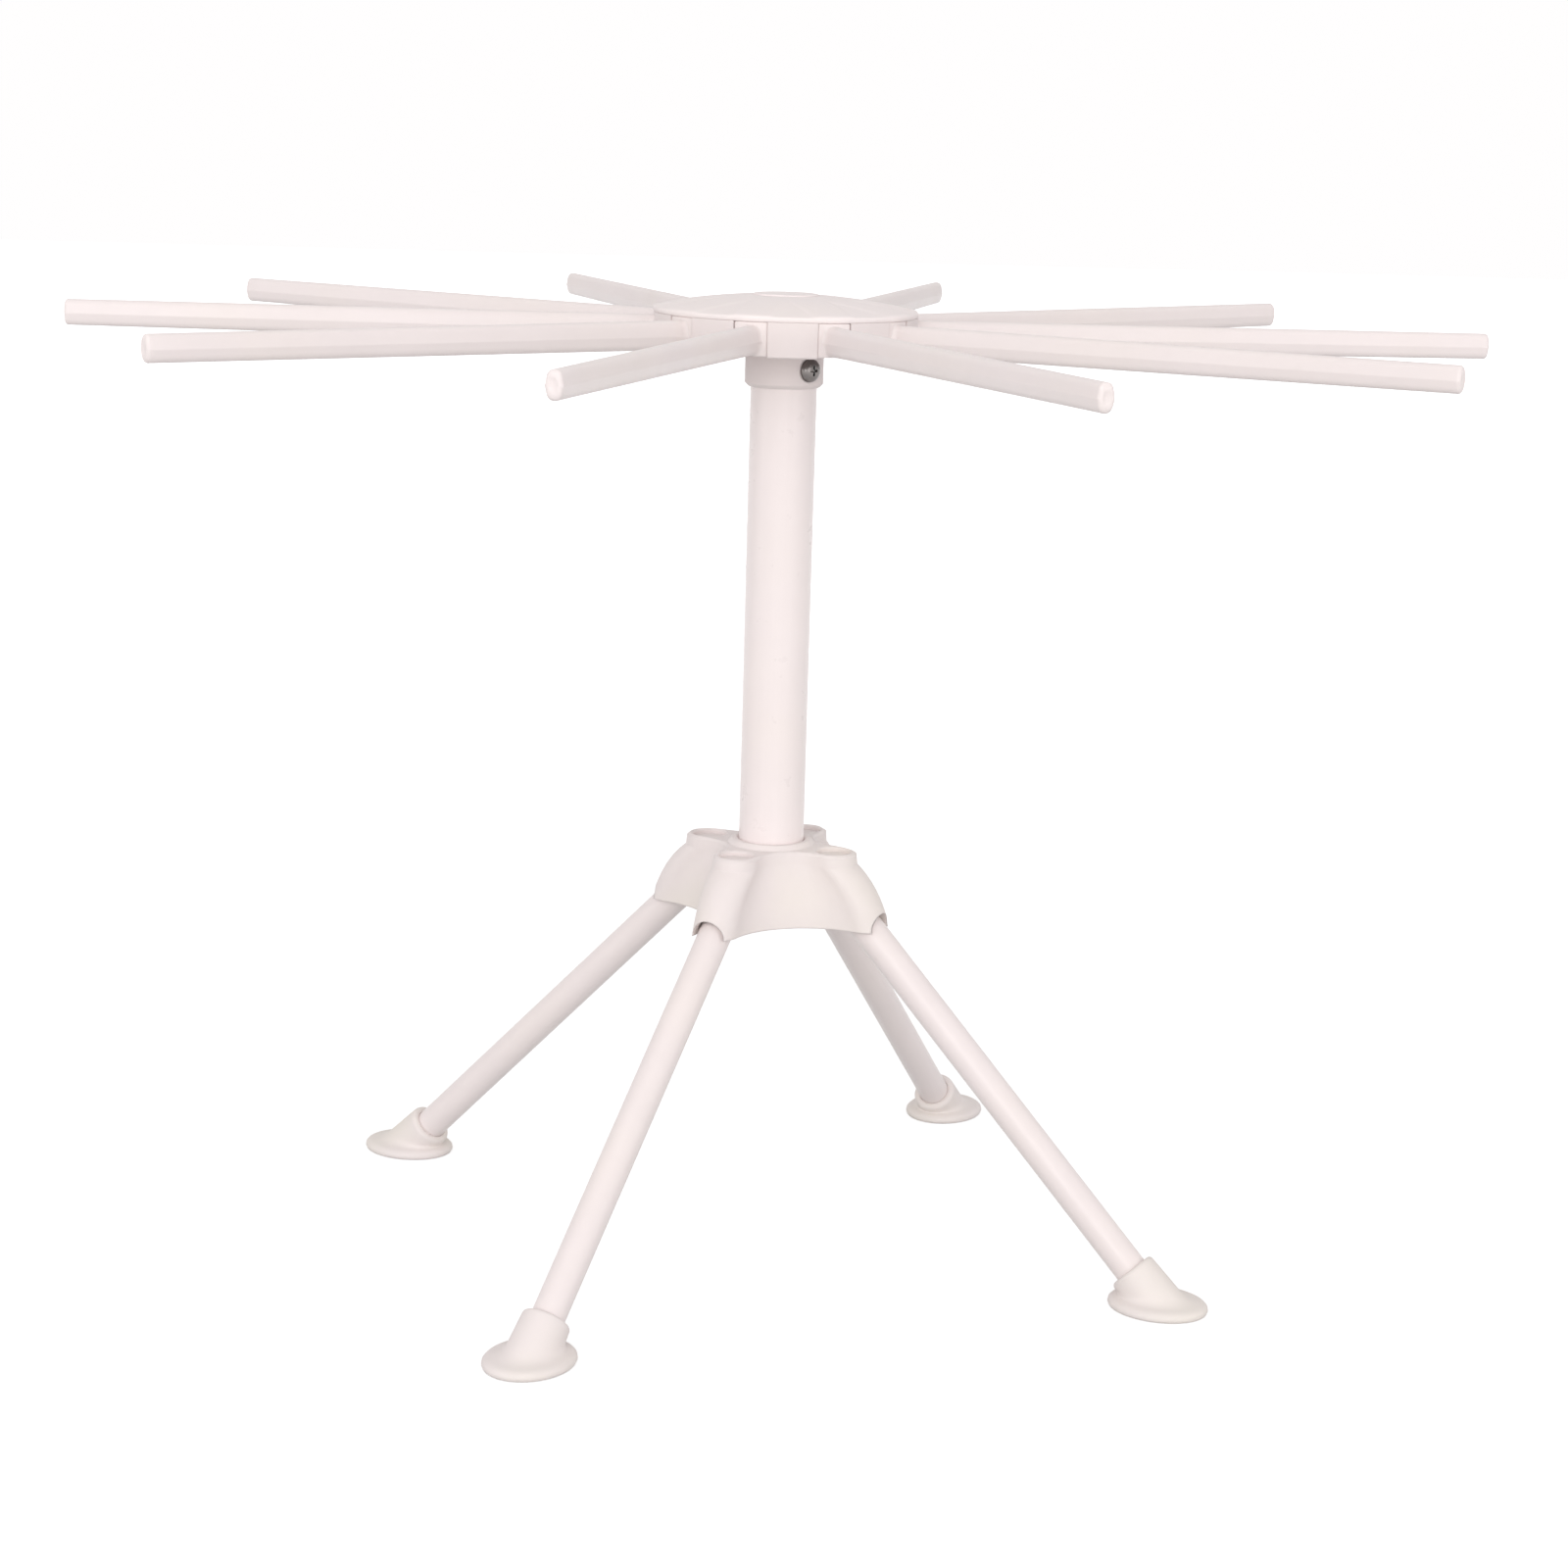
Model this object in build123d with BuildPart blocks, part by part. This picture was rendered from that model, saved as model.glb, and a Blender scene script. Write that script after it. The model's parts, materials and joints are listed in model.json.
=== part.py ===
from build123d import *
import os
from math import cos, radians, sin, sqrt

# Pasta drying rack: ten arms hinged in a round hub, a column, and four legs that fold under a lobed base.
# Millimetres. The origin lies on the surface that the rack stands on, under the middle of the column.
# +Z is up and the first arm lies along +X. The rack is drawn open, with arms level and legs spread.

# Stance of the open rack
arm_count = 10
leg_count = 4
arm_reach = 212.5  # middle of the column to the end of an arm
arm_axis_height = 281.2  # hinge pins of the arms above the ground
foot_reach = 135.9  # middle of the column to the point where a leg's axis meets the ground
leg_splay = 45.0  # angle between a spread leg and the vertical
leg_turn = -31.4  # first leg, round from the first arm

# Clearances
side_play = 0.35  # arm knuckle to each wall of its slot
arm_stop_gap = 0.1  # level arm under the cover that stops it
leg_stop_gap = 0.3  # spread leg to the wall that stops it
leg_play = 0.35  # leg to each wall of its channel
running_fit = 0.05  # hinge pin in its seat, on the radius
end_play = 0.3  # end of a hinge pin to the end of its seat
press_fit = 0.03  # pieces pushed or glued together, on the radius
overrun = 2.0  # how far a cutting shape passes the face that it opens

# Arm: a tapering rod on a knuckle with two moulded hinge pins
knuckle_width = 9.4
knuckle_drop = 5.3  # underside of the knuckle under the hinge axis
hinge_inset = 5.5  # hinge axis inside the rim of the hub
arm_pin_diameter = 4.0
arm_pin_length = 2.4  # each side of the knuckle
rod_root_height = 8.6
rod_root_width = 6.0
rod_root_drop = 0.8  # middle of the rod under the hinge axis
rod_tip_height = 7.6
rod_tip_width = 4.9
rod_tip_bevel = 0.5
rod_shoulder_height_share = 0.5  # where the flat flanks meet the rounded top and bottom
rod_shoulder_width_share = 0.86

# Hub: slotted disc with a collar for the column
hub_radius = 39.5
hub_drop = 5.7  # underside of the hub under the arm axis
seam_rise = 4.6  # seam under the cover above the arm axis
hub_edge_bevel = 0.4
slot_back_gap = 0.4
slot_back_wall = 2.0
hub_floor = 2.5
hub_rib = 2.2
collar_length = 11.2
collar_wall = 1.75
collar_bevel = 1.0
column_stop_rise = 2.0  # end of the column above the underside of the hub
centre_boss_radius = 6.0

# Cover: shallow dome that closes the slots from above
cover_edge = 1.5
cover_edge_bevel = 0.5
dome_rise = 4.1
cover_recess = 1.4
strip_rise = 0.25  # raised band over each arm
strip_width = 12.0
keeper_gap = 0.1
keeper_play = 0.25
keeper_length = 3.4  # along the arm
cap_diameter = 19.4
cap_rise = 0.4
cap_pocket = 1.5
cap_bevel = 0.3
cap_hollow_play = 0.6

# Column: plain tube
column_diameter = 20.0
column_wall = 1.8
column_chamfer = 0.4

# Pan-head tapping screws
screw_head_diameter = 7.0
screw_head_height = 2.3
screw_head_bevel = 0.9
screw_shank_diameter = 3.5
screw_point = 1.2
cross_length = 4.0
cross_width = 0.9
cross_depth = 1.2
collar_screw_azimuth = -54.0
collar_screw_drop = 5.6  # under the underside of the hub
collar_screw_length = 6.5
spot_face_depth = 0.5
cover_screw_length = 8.0
cover_screw_sink = 1.1

# Base: four lobes with leg channels, joined by hollow-sided webs
base_height = 22.5  # from the hem to the top
neck_height = 3.8  # upright band under the top
lobe_radius = 7.0
lobe_top_reach = 21.75  # middle of a lobe from the middle of the column, at the top
lobe_neck_reach = 22.25
lobe_belly_reach = 28.6
lobe_skirt_reach = 32.5
lobe_hem_reach = 34.0
waist_top = 14.6  # surface of the web between two lobes
waist_neck = 15.0
waist_belly = 17.3
waist_skirt = 19.6
waist_hem = 20.5
belly_height = 12.0  # above the hem
skirt_height = 4.5
base_top_bevel = 0.7
base_roof = 3.0
dish_diameter = 10.4  # shallow round recess on top of each lobe
dish_depth = 1.5
dish_bevel = 0.5
boss_rise = 1.5  # low cone round the column
boss_root_diameter = 26.8
arch_rise = 5.3  # crown of the leg arch above the hem
socket_floor = 3.0
socket_chamfer = 0.7
socket_wall = 2.0
pin_wall = 3.0  # thickness beside a channel that holds the pin seat
skirt_wall = 1.8
snap_width = 3.4  # mouth of a leg pin seat, narrower than the pin

# Leg and foot
leg_diameter = 10.0
leg_knuckle_width = 8.0  # across the flats at the hinge
leg_knuckle_radius = 6.0  # round end of the flats
leg_pivot_reach = 21.6
leg_pivot_rise = 12.6  # hinge of a leg above the hem of the base
leg_pin_diameter = 4.0
leg_pin_length = 1.8  # each side of the knuckle
heel_rise = 4.0  # square heel that stops the spread leg
heel_width = 6.0
foot_length = 30.4
foot_width = 25.6
foot_rim_height = 1.6  # upright edge of the oval sole
foot_crown_length = 20.0  # where the slope of the foot runs into its socket
foot_crown_width = 18.0
foot_crown_rise = 1.9  # above the upright edge
foot_rim_bevel = 0.5
foot_sole_inset = 1.2  # middle of the sole inside the point where the leg's axis meets the ground
socket_rim_distance = 14.4  # along the leg from the ground
socket_rim_diameter = 14.4
socket_root_diameter = 16.4
socket_rim_bevel = 0.7
foot_sole = 1.4  # least thickness under the end of the leg

# Heights and radii that follow
hub_bottom = arm_axis_height - hub_drop
seam_height = arm_axis_height + seam_rise
cover_top = seam_height + cover_edge
dome_top = cover_top + dome_rise
column_top = hub_bottom + column_stop_rise
collar_bottom = hub_bottom - collar_length
column_radius = column_diameter / 2
collar_radius = column_radius + press_fit + collar_wall
arm_pivot_reach = hub_radius - hinge_inset
slot_back = arm_pivot_reach - knuckle_drop - slot_back_gap
slot_width = knuckle_width + 2 * side_play
arm_seat_radius = arm_pin_diameter / 2 + running_fit
arm_seat_reach = knuckle_width / 2 + arm_pin_length + end_play
ring_radius = slot_back - slot_back_wall
cap_radius = cap_diameter / 2
leg_pivot_height = (foot_reach - leg_pivot_reach) / sin(radians(leg_splay)) * cos(radians(leg_splay))
base_hem_height = leg_pivot_height - leg_pivot_rise
base_top = base_hem_height + base_height
base_neck = base_top - neck_height
boss_top = base_top + boss_rise
socket_radius = column_radius + press_fit
channel_half_width = leg_diameter / 2 + leg_play
channel_back = leg_pivot_reach - leg_diameter / 2 - leg_stop_gap
leg_seat_radius = leg_pin_diameter / 2 + running_fit
leg_pad_radius = leg_knuckle_radius - leg_stop_gap
leg_seat_reach = leg_knuckle_width / 2 + leg_pin_length + end_play

arm_azimuths = [360 / arm_count * k for k in range(arm_count)]
leg_azimuths = [leg_turn + 360 / leg_count * k for k in range(leg_count)]


def hinge_plane(azimuth, reach, height):
    """Upright plane through the column axis and a hinge: x points outward, y up, z along the hinge pin."""
    out_x = cos(radians(azimuth))
    out_y = sin(radians(azimuth))
    return Plane(origin=(reach * out_x, reach * out_y, height), x_dir=(out_x, out_y, 0), z_dir=(out_y, -out_x, 0))


def rod_section(width, height, middle):
    """Tall section of an arm's rod, with a parting ridge half way up each flank."""
    half_width = width / 2
    half_height = height / 2
    shoulder = half_width * rod_shoulder_width_share
    rise = half_height * rod_shoulder_height_share
    with BuildSketch() as section:
        with BuildLine():
            Polyline((-shoulder, middle - rise), (-half_width, middle), (-shoulder, middle + rise))
            ThreePointArc((-shoulder, middle + rise), (0, middle + half_height), (shoulder, middle + rise))
            Polyline((shoulder, middle + rise), (half_width, middle), (shoulder, middle - rise))
            ThreePointArc((shoulder, middle - rise), (0, middle - half_height), (-shoulder, middle - rise))
        make_face()
    return section.sketch


def lobed_section(lobe_reach, waist, radius):
    """Outline with a round lobe at each leg and a hollow web between lobes."""
    half_turn = 180 / leg_count
    waist_excess = waist - radius
    hollow_reach = (lobe_reach**2 - waist_excess**2) / (2 * lobe_reach * cos(radians(half_turn)) - 2 * waist_excess)
    hollow_radius = hollow_reach - waist
    with BuildSketch() as section:
        with BuildLine():
            for azimuth in leg_azimuths:
                lobe = Vector(lobe_reach, 0).rotate(Axis.Z, azimuth)
                before = Vector(hollow_reach, 0).rotate(Axis.Z, azimuth - half_turn)
                after = Vector(hollow_reach, 0).rotate(Axis.Z, azimuth + half_turn)
                following = Vector(lobe_reach, 0).rotate(Axis.Z, azimuth + 2 * half_turn)
                lobe_start = lobe + (before - lobe).normalized() * radius
                lobe_end = lobe + (after - lobe).normalized() * radius
                web_end = after + (following - after).normalized() * hollow_radius
                ThreePointArc(lobe_start, lobe + lobe.normalized() * radius, lobe_end)
                ThreePointArc(lobe_end, after.normalized() * waist, web_end)
        make_face()
    return section.sketch


def pan_screw(seat, shank_length):
    """Cross-recessed tapping screw: its head stands on the seat plane and its shank runs behind it."""
    with BuildPart() as screw:
        with BuildSketch(seat):
            Circle(screw_head_diameter / 2)
        extrude(amount=screw_head_height)
        along = Axis(seat.origin, seat.z_dir)
        chamfer(screw.faces().sort_by(along)[-1].edges(), screw_head_bevel)
        with BuildSketch(seat.offset(screw_head_height)):
            Rectangle(cross_length, cross_width)
            Rectangle(cross_width, cross_length)
        extrude(amount=-cross_depth, mode=Mode.SUBTRACT)
        with BuildSketch(seat):
            Circle(screw_shank_diameter / 2)
        extrude(amount=-shank_length)
        chamfer(screw.faces().sort_by(along)[0].edges(), screw_point, screw_shank_diameter / 3)
    return screw


# Column tube, from the floor of the base socket to the stop inside the hub
column_bottom = base_hem_height + socket_floor
collar_screw_seat = Plane(
    origin=(
        (collar_radius - spot_face_depth) * cos(radians(collar_screw_azimuth)),
        (collar_radius - spot_face_depth) * sin(radians(collar_screw_azimuth)),
        hub_bottom - collar_screw_drop,
    ),
    z_dir=(cos(radians(collar_screw_azimuth)), sin(radians(collar_screw_azimuth)), 0),
)
with BuildPart() as column_tube:
    with BuildSketch(Plane.XY.offset(column_bottom)):
        Circle(column_radius)
        Circle(column_radius - column_wall, mode=Mode.SUBTRACT)
    extrude(amount=column_top - column_bottom)
    chamfer(column_tube.edges().filter_by(GeomType.CIRCLE).group_by(SortBy.RADIUS)[-1], column_chamfer)
    with BuildSketch(collar_screw_seat):
        Circle(screw_shank_diameter / 2 + press_fit)
    extrude(amount=-collar_radius, mode=Mode.SUBTRACT)

# Hub body: disc with a slot for each arm, a collar below and pin seats that open to the seam
with BuildPart() as hub_body:
    with BuildSketch(Plane.XY.offset(hub_bottom)):
        Circle(hub_radius)
    extrude(amount=seam_height - hub_bottom)
    chamfer(hub_body.edges().group_by(Axis.Z)[0], hub_edge_bevel)
    with BuildSketch(Plane.XY.offset(collar_bottom)):
        Circle(collar_radius)
    extrude(amount=collar_length)
    chamfer(hub_body.edges().group_by(Axis.Z)[0], collar_bevel)
    # Hollow between the slots and the middle, with a rib behind each block
    with BuildSketch(Plane.XY.offset(seam_height)):
        Circle(ring_radius)
        Circle(centre_boss_radius + slot_back_wall, mode=Mode.SUBTRACT)
        with PolarLocations(ring_radius / 2, arm_count, start_angle=180 / arm_count):
            Rectangle(ring_radius, hub_rib, mode=Mode.SUBTRACT)
        Circle(collar_radius, mode=Mode.SUBTRACT)
    extrude(amount=hub_bottom + hub_floor - seam_height, mode=Mode.SUBTRACT)
    # Slots for the knuckles
    with BuildSketch(Plane.XY.offset(hub_bottom - overrun)):
        with PolarLocations(slot_back, arm_count):
            Rectangle(hub_radius, slot_width, align=(Align.MIN, Align.CENTER))
    extrude(amount=seam_height - hub_bottom + 2 * overrun, mode=Mode.SUBTRACT)
    # Seats for the hinge pins, closed later by the cover's keepers
    with BuildSketch(*[hinge_plane(azimuth, arm_pivot_reach, arm_axis_height) for azimuth in arm_azimuths]):
        Circle(arm_seat_radius)
        Rectangle(2 * arm_seat_radius, seam_rise + overrun, align=(Align.CENTER, Align.MIN))
    extrude(amount=arm_seat_reach, both=True, mode=Mode.SUBTRACT)
    # Bore for the column, holes for both screws and a spot face for the collar screw
    with BuildSketch(Plane.XY.offset(collar_bottom)):
        Circle(column_radius + press_fit)
    extrude(amount=column_top - collar_bottom, mode=Mode.SUBTRACT)
    with BuildSketch(Plane.XY.offset(column_top)):
        Circle(screw_shank_diameter / 2 + press_fit)
    extrude(amount=seam_height - column_top, mode=Mode.SUBTRACT)
    with BuildSketch(collar_screw_seat):
        Circle(screw_head_diameter / 2 + press_fit)
    extrude(amount=spot_face_depth + overrun, mode=Mode.SUBTRACT)
    with BuildSketch(collar_screw_seat):
        Circle(screw_shank_diameter / 2 + press_fit)
    extrude(amount=-collar_wall, mode=Mode.SUBTRACT)

# Dome of the cover, drawn twice: once plain and once higher, for the bands over the arms
def dome(rise):
    """Solid of revolution under the cover's dome, from the seam up, lifted by the given rise."""
    with BuildPart() as solid:
        with BuildSketch(Plane.XZ):
            with BuildLine():
                Polyline(
                    (0, dome_top + rise),
                    (0, seam_height),
                    (hub_radius, seam_height),
                    (hub_radius, cover_top + rise),
                )
                ThreePointArc(
                    (hub_radius, cover_top + rise),
                    (hub_radius / sqrt(2), cover_top + dome_rise / 2 + rise),
                    (0, dome_top + rise),
                )
            make_face()
        revolve(axis=Axis.Z)
        chamfer(solid.faces().sort_by(Axis.Z)[-1].edges(), cover_edge_bevel)
    return solid.part


with BuildPart() as cover_bands:
    add(dome(strip_rise))
    with BuildSketch(Plane.XY.offset(seam_height)):
        with PolarLocations(cap_radius, arm_count):
            Rectangle(hub_radius, strip_width, align=(Align.MIN, Align.CENTER))
    extrude(amount=dome_top - seam_height + overrun, mode=Mode.INTERSECT)

# Cover: the dome with its bands, a pocket for the cap and keepers that hold the arm pins down
cover_screw_seat = Plane.XY.offset(dome_top - cap_pocket - cover_screw_sink)
with BuildPart() as hub_cover:
    add(dome(0))
    add(cover_bands.part)
    with BuildSketch(Plane.XY.offset(seam_height)):
        Circle(ring_radius)
        Circle(centre_boss_radius, mode=Mode.SUBTRACT)
    extrude(amount=cover_recess, mode=Mode.SUBTRACT)
    with BuildSketch(Plane.XY.offset(dome_top - cap_pocket)):
        Circle(cap_radius + press_fit)
    extrude(amount=cap_pocket + overrun, mode=Mode.SUBTRACT)
    with BuildSketch(cover_screw_seat):
        Circle(screw_head_diameter / 2 + press_fit)
    extrude(amount=cover_screw_sink + overrun, mode=Mode.SUBTRACT)
    with BuildSketch(Plane.XY.offset(seam_height)):
        Circle(screw_shank_diameter / 2 + press_fit)
    extrude(amount=dome_top - seam_height, mode=Mode.SUBTRACT)
    keeper_depth = seam_rise - arm_pin_diameter / 2 - keeper_gap
    keeper_width = arm_pin_length + end_play - side_play - 2 * keeper_play
    keeper_middle = slot_width / 2 + keeper_play + keeper_width / 2
    with BuildSketch(Plane.XY.offset(seam_height)):
        with PolarLocations(arm_pivot_reach, arm_count):
            with Locations((0, keeper_middle), (0, -keeper_middle)):
                Rectangle(keeper_length, keeper_width)
    extrude(amount=-keeper_depth)

# Cap pressed into the cover over its screw
with BuildPart() as cover_cap:
    with BuildSketch(Plane.XY.offset(dome_top - cap_pocket)):
        Circle(cap_radius)
    extrude(amount=cap_pocket + cap_rise)
    chamfer(cover_cap.edges().group_by(Axis.Z)[-1], cap_bevel)
    with BuildSketch(Plane.XY.offset(dome_top - cap_pocket)):
        Circle(screw_head_diameter / 2 + cap_hollow_play)
    extrude(amount=screw_head_height - cover_screw_sink + cap_hollow_play, mode=Mode.SUBTRACT)

cover_screw = pan_screw(cover_screw_seat, cover_screw_length)
collar_screw = pan_screw(collar_screw_seat, collar_screw_length)

# First arm, along +X
with BuildPart() as arm:
    knuckle_rise = seam_rise - arm_stop_gap
    with BuildSketch(hinge_plane(0, arm_pivot_reach, arm_axis_height)):
        with BuildLine():
            Polyline(
                (0, -knuckle_drop),
                (hinge_inset + overrun, -knuckle_drop),
                (hinge_inset + overrun, knuckle_rise),
                (0, knuckle_rise),
            )
            # Behind the pin the knuckle stays round, so that it turns under the cover
            ThreePointArc((0, knuckle_rise), (-knuckle_rise / sqrt(2), knuckle_rise / sqrt(2)), (-knuckle_rise, 0))
            ThreePointArc((-knuckle_rise, 0), (-knuckle_rise / sqrt(2), -knuckle_drop / sqrt(2)), (0, -knuckle_drop))
        make_face()
    extrude(amount=knuckle_width / 2, both=True)
    with BuildSketch(Plane.XY.offset(arm_axis_height - knuckle_drop)):
        Circle(hub_radius)
    extrude(amount=knuckle_drop + knuckle_rise, mode=Mode.INTERSECT)
    with BuildSketch(hinge_plane(0, arm_pivot_reach, arm_axis_height)):
        Circle(arm_pin_diameter / 2)
    extrude(amount=knuckle_width / 2 + arm_pin_length, both=True)
    # The rod tapers from the knuckle to its tip
    with BuildSketch(Plane.YZ.offset(arm_pivot_reach)):
        add(rod_section(rod_root_width, rod_root_height, arm_axis_height - rod_root_drop))
    with BuildSketch(Plane.YZ.offset(arm_reach)):
        add(rod_section(rod_tip_width, rod_tip_height, arm_axis_height))
    loft(ruled=True)
    chamfer(arm.faces().sort_by(Axis.X)[-1].edges(), rod_tip_bevel)

# Outer body of the base: an upright neck over a curved skirt
skirt_stations = (
    (base_neck, lobe_neck_reach, waist_neck),
    (base_hem_height + belly_height, lobe_belly_reach, waist_belly),
    (base_hem_height + skirt_height, lobe_skirt_reach, waist_skirt),
    (base_hem_height, lobe_hem_reach, waist_hem),
)

# Space inside the skirt, cut back later to the four pockets between the leg channels
with BuildPart() as skirt_cores:
    for height, reach, waist in skirt_stations:
        with BuildSketch(Plane.XY.offset(height)):
            add(lobed_section(reach, waist - skirt_wall, lobe_radius - skirt_wall))
    loft()
    with BuildSketch(Plane.XY.offset(base_hem_height)):
        Circle(socket_radius + socket_wall)
        with PolarLocations(0, leg_count, start_angle=leg_turn):
            Rectangle(
                lobe_hem_reach + lobe_radius,
                2 * (channel_half_width + pin_wall),
                align=(Align.MIN, Align.CENTER),
            )
    extrude(amount=base_height, mode=Mode.SUBTRACT)

# Channel of the first leg, drawn along +X: it follows the lobe inside its wall
leg_hinge = hinge_plane(0, leg_pivot_reach, leg_pivot_height)
with BuildPart() as leg_channel:
    for height, reach, waist in skirt_stations:
        with BuildSketch(Plane.XY.offset(height)):
            with Locations((reach, 0)):
                Circle(channel_half_width)
            with Locations((channel_back, 0)):
                Rectangle(reach - channel_back, 2 * channel_half_width, align=(Align.MIN, Align.CENTER))
    loft()
    extrude(leg_channel.faces().sort_by(Axis.Z)[-1], amount=neck_height - base_roof)
    extrude(leg_channel.faces().sort_by(Axis.Z)[0], amount=overrun)
    # Arch through the end of the lobe
    with BuildSketch(Plane.YZ.offset(lobe_belly_reach)):
        with Locations((0, base_hem_height + arch_rise - channel_half_width)):
            Circle(channel_half_width)
            Rectangle(2 * channel_half_width, arch_rise + overrun, align=(Align.CENTER, Align.MAX))
    extrude(amount=lobe_hem_reach + lobe_radius + overrun - lobe_belly_reach)
    # Pads on both walls, beside the flats of the knuckle
    for side in (1, -1):
        with BuildSketch(leg_hinge.offset(side * (leg_knuckle_width / 2 + leg_play))):
            Circle(leg_pad_radius)
        extrude(amount=side * channel_half_width, mode=Mode.SUBTRACT)
    # Seats that the leg's pins snap into from below
    with BuildSketch(leg_hinge):
        Circle(leg_seat_radius)
        Rectangle(snap_width, leg_pivot_height - base_hem_height + overrun, align=(Align.CENTER, Align.MAX))
    extrude(amount=leg_seat_reach, both=True)

with BuildPart() as base_body:
    with BuildSketch(Plane.XY.offset(base_top)):
        add(lobed_section(lobe_top_reach, waist_top, lobe_radius))
    with BuildSketch(Plane.XY.offset(base_neck)):
        add(lobed_section(lobe_neck_reach, waist_neck, lobe_radius))
    loft(ruled=True)
    for height, reach, waist in skirt_stations:
        with BuildSketch(Plane.XY.offset(height)):
            add(lobed_section(reach, waist, lobe_radius))
    loft()
    chamfer(base_body.faces().sort_by(Axis.Z)[-1].edges(), base_top_bevel)
    add(skirt_cores.part, mode=Mode.SUBTRACT)
    with PolarLocations(0, leg_count, start_angle=leg_turn):
        add(leg_channel.part, mode=Mode.SUBTRACT)
    # Shallow dish on top of each lobe
    with BuildSketch(Plane.XY.offset(base_top)):
        with PolarLocations(lobe_top_reach, leg_count, start_angle=leg_turn):
            Circle(dish_diameter / 2)
    extrude(amount=-dish_depth, mode=Mode.SUBTRACT)
    flat_rims = base_body.edges().filter_by(GeomType.CIRCLE).filter_by_position(Axis.Z, base_top, base_top)
    chamfer(flat_rims.filter_by(lambda edge: abs(edge.radius - dish_diameter / 2) < press_fit), dish_bevel)
    # Low cone round the column, and the socket that takes it
    with BuildSketch(Plane.XY.offset(base_top)):
        Circle(boss_root_diameter / 2)
    with BuildSketch(Plane.XY.offset(boss_top)):
        Circle(socket_radius + socket_wall)
    loft()
    with BuildSketch(Plane.XY.offset(column_bottom)):
        Circle(socket_radius)
    extrude(amount=boss_top - column_bottom, mode=Mode.SUBTRACT)
    boss_rims = base_body.edges().group_by(Axis.Z)[-1]
    chamfer(boss_rims.filter_by(lambda edge: abs(edge.radius - socket_radius) < press_fit), socket_chamfer)

# First leg, spread along +X
leg_down = (sin(radians(leg_splay)), 0, -cos(radians(leg_splay)))
leg_length = leg_pivot_height / cos(radians(leg_splay))
leg_end_distance = foot_sole / cos(radians(leg_splay)) + leg_diameter / 2
with BuildPart() as leg:
    with BuildSketch(Plane(origin=(leg_pivot_reach, 0, leg_pivot_height), z_dir=leg_down)):
        Circle(leg_diameter / 2)
    extrude(amount=leg_length - leg_end_distance)
    with Locations((leg_pivot_reach, 0, leg_pivot_height)):
        Sphere(leg_diameter / 2)
    with BuildSketch(leg_hinge):
        Rectangle(leg_diameter / 2, heel_rise, align=(Align.MAX, Align.MIN))
    extrude(amount=heel_width / 2, both=True)
    for side in (1, -1):
        with BuildSketch(leg_hinge.offset(side * leg_knuckle_width / 2)):
            Circle(leg_knuckle_radius)
        extrude(amount=side * leg_diameter, mode=Mode.SUBTRACT)
    with BuildSketch(leg_hinge):
        Circle(leg_pin_diameter / 2)
    extrude(amount=leg_knuckle_width / 2 + leg_pin_length, both=True)

# First foot: an oval sole that rises to a slanted socket for the leg
leg_up = (-sin(radians(leg_splay)), 0, cos(radians(leg_splay)))
foot_axis = Plane(origin=(foot_reach, 0, 0), z_dir=leg_up)
with BuildPart() as foot:
    with BuildSketch(Plane.XY):
        with Locations((foot_reach - foot_sole_inset, 0)):
            Ellipse(foot_length / 2, foot_width / 2)
    extrude(amount=foot_rim_height)
    with BuildSketch(Plane.XY.offset(foot_rim_height)):
        with Locations((foot_reach - foot_sole_inset, 0)):
            Ellipse(foot_length / 2, foot_width / 2)
    with BuildSketch(Plane.XY.offset(foot_rim_height + foot_crown_rise)):
        with Locations((foot_reach - foot_sole_inset, 0)):
            Ellipse(foot_crown_length / 2, foot_crown_width / 2)
    loft(ruled=True)
    chamfer(foot.edges().filter_by(GeomType.ELLIPSE).group_by(Axis.Z)[1], foot_rim_bevel)
    with BuildSketch(foot_axis.offset(-socket_root_diameter / 2)):
        Circle(socket_root_diameter / 2)
    with BuildSketch(foot_axis.offset(socket_rim_distance)):
        Circle(socket_rim_diameter / 2)
    loft()
    split(bisect_by=Plane.XY, keep=Keep.TOP)
    chamfer(foot.edges().filter_by(GeomType.CIRCLE), socket_rim_bevel)
    with BuildSketch(foot_axis.offset(leg_end_distance)):
        Circle(leg_diameter / 2 + press_fit)
    extrude(amount=socket_rim_distance, mode=Mode.SUBTRACT)

# Labels and files, one per piece
pieces = {
    "column_tube": column_tube.part,
    "hub_body": hub_body.part,
    "hub_cover": hub_cover.part,
    "cover_cap": cover_cap.part,
    "cover_screw": cover_screw.part,
    "collar_screw": collar_screw.part,
    "base_body": base_body.part,
}
for number, azimuth in enumerate(arm_azimuths, start=1):
    pieces[f"arm_{number:02d}"] = arm.part.rotate(Axis.Z, azimuth)
for number, azimuth in enumerate(leg_azimuths, start=1):
    pieces[f"leg_{number}"] = leg.part.rotate(Axis.Z, azimuth)
    pieces[f"foot_{number}"] = foot.part.rotate(Axis.Z, azimuth)

os.makedirs("parts", exist_ok=True)
for name, piece in pieces.items():
    piece.label = name
    export_step(piece, f"parts/{name}.step")
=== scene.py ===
import json
import math

import bmesh
import bpy
from mathutils import Matrix, Vector


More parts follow.
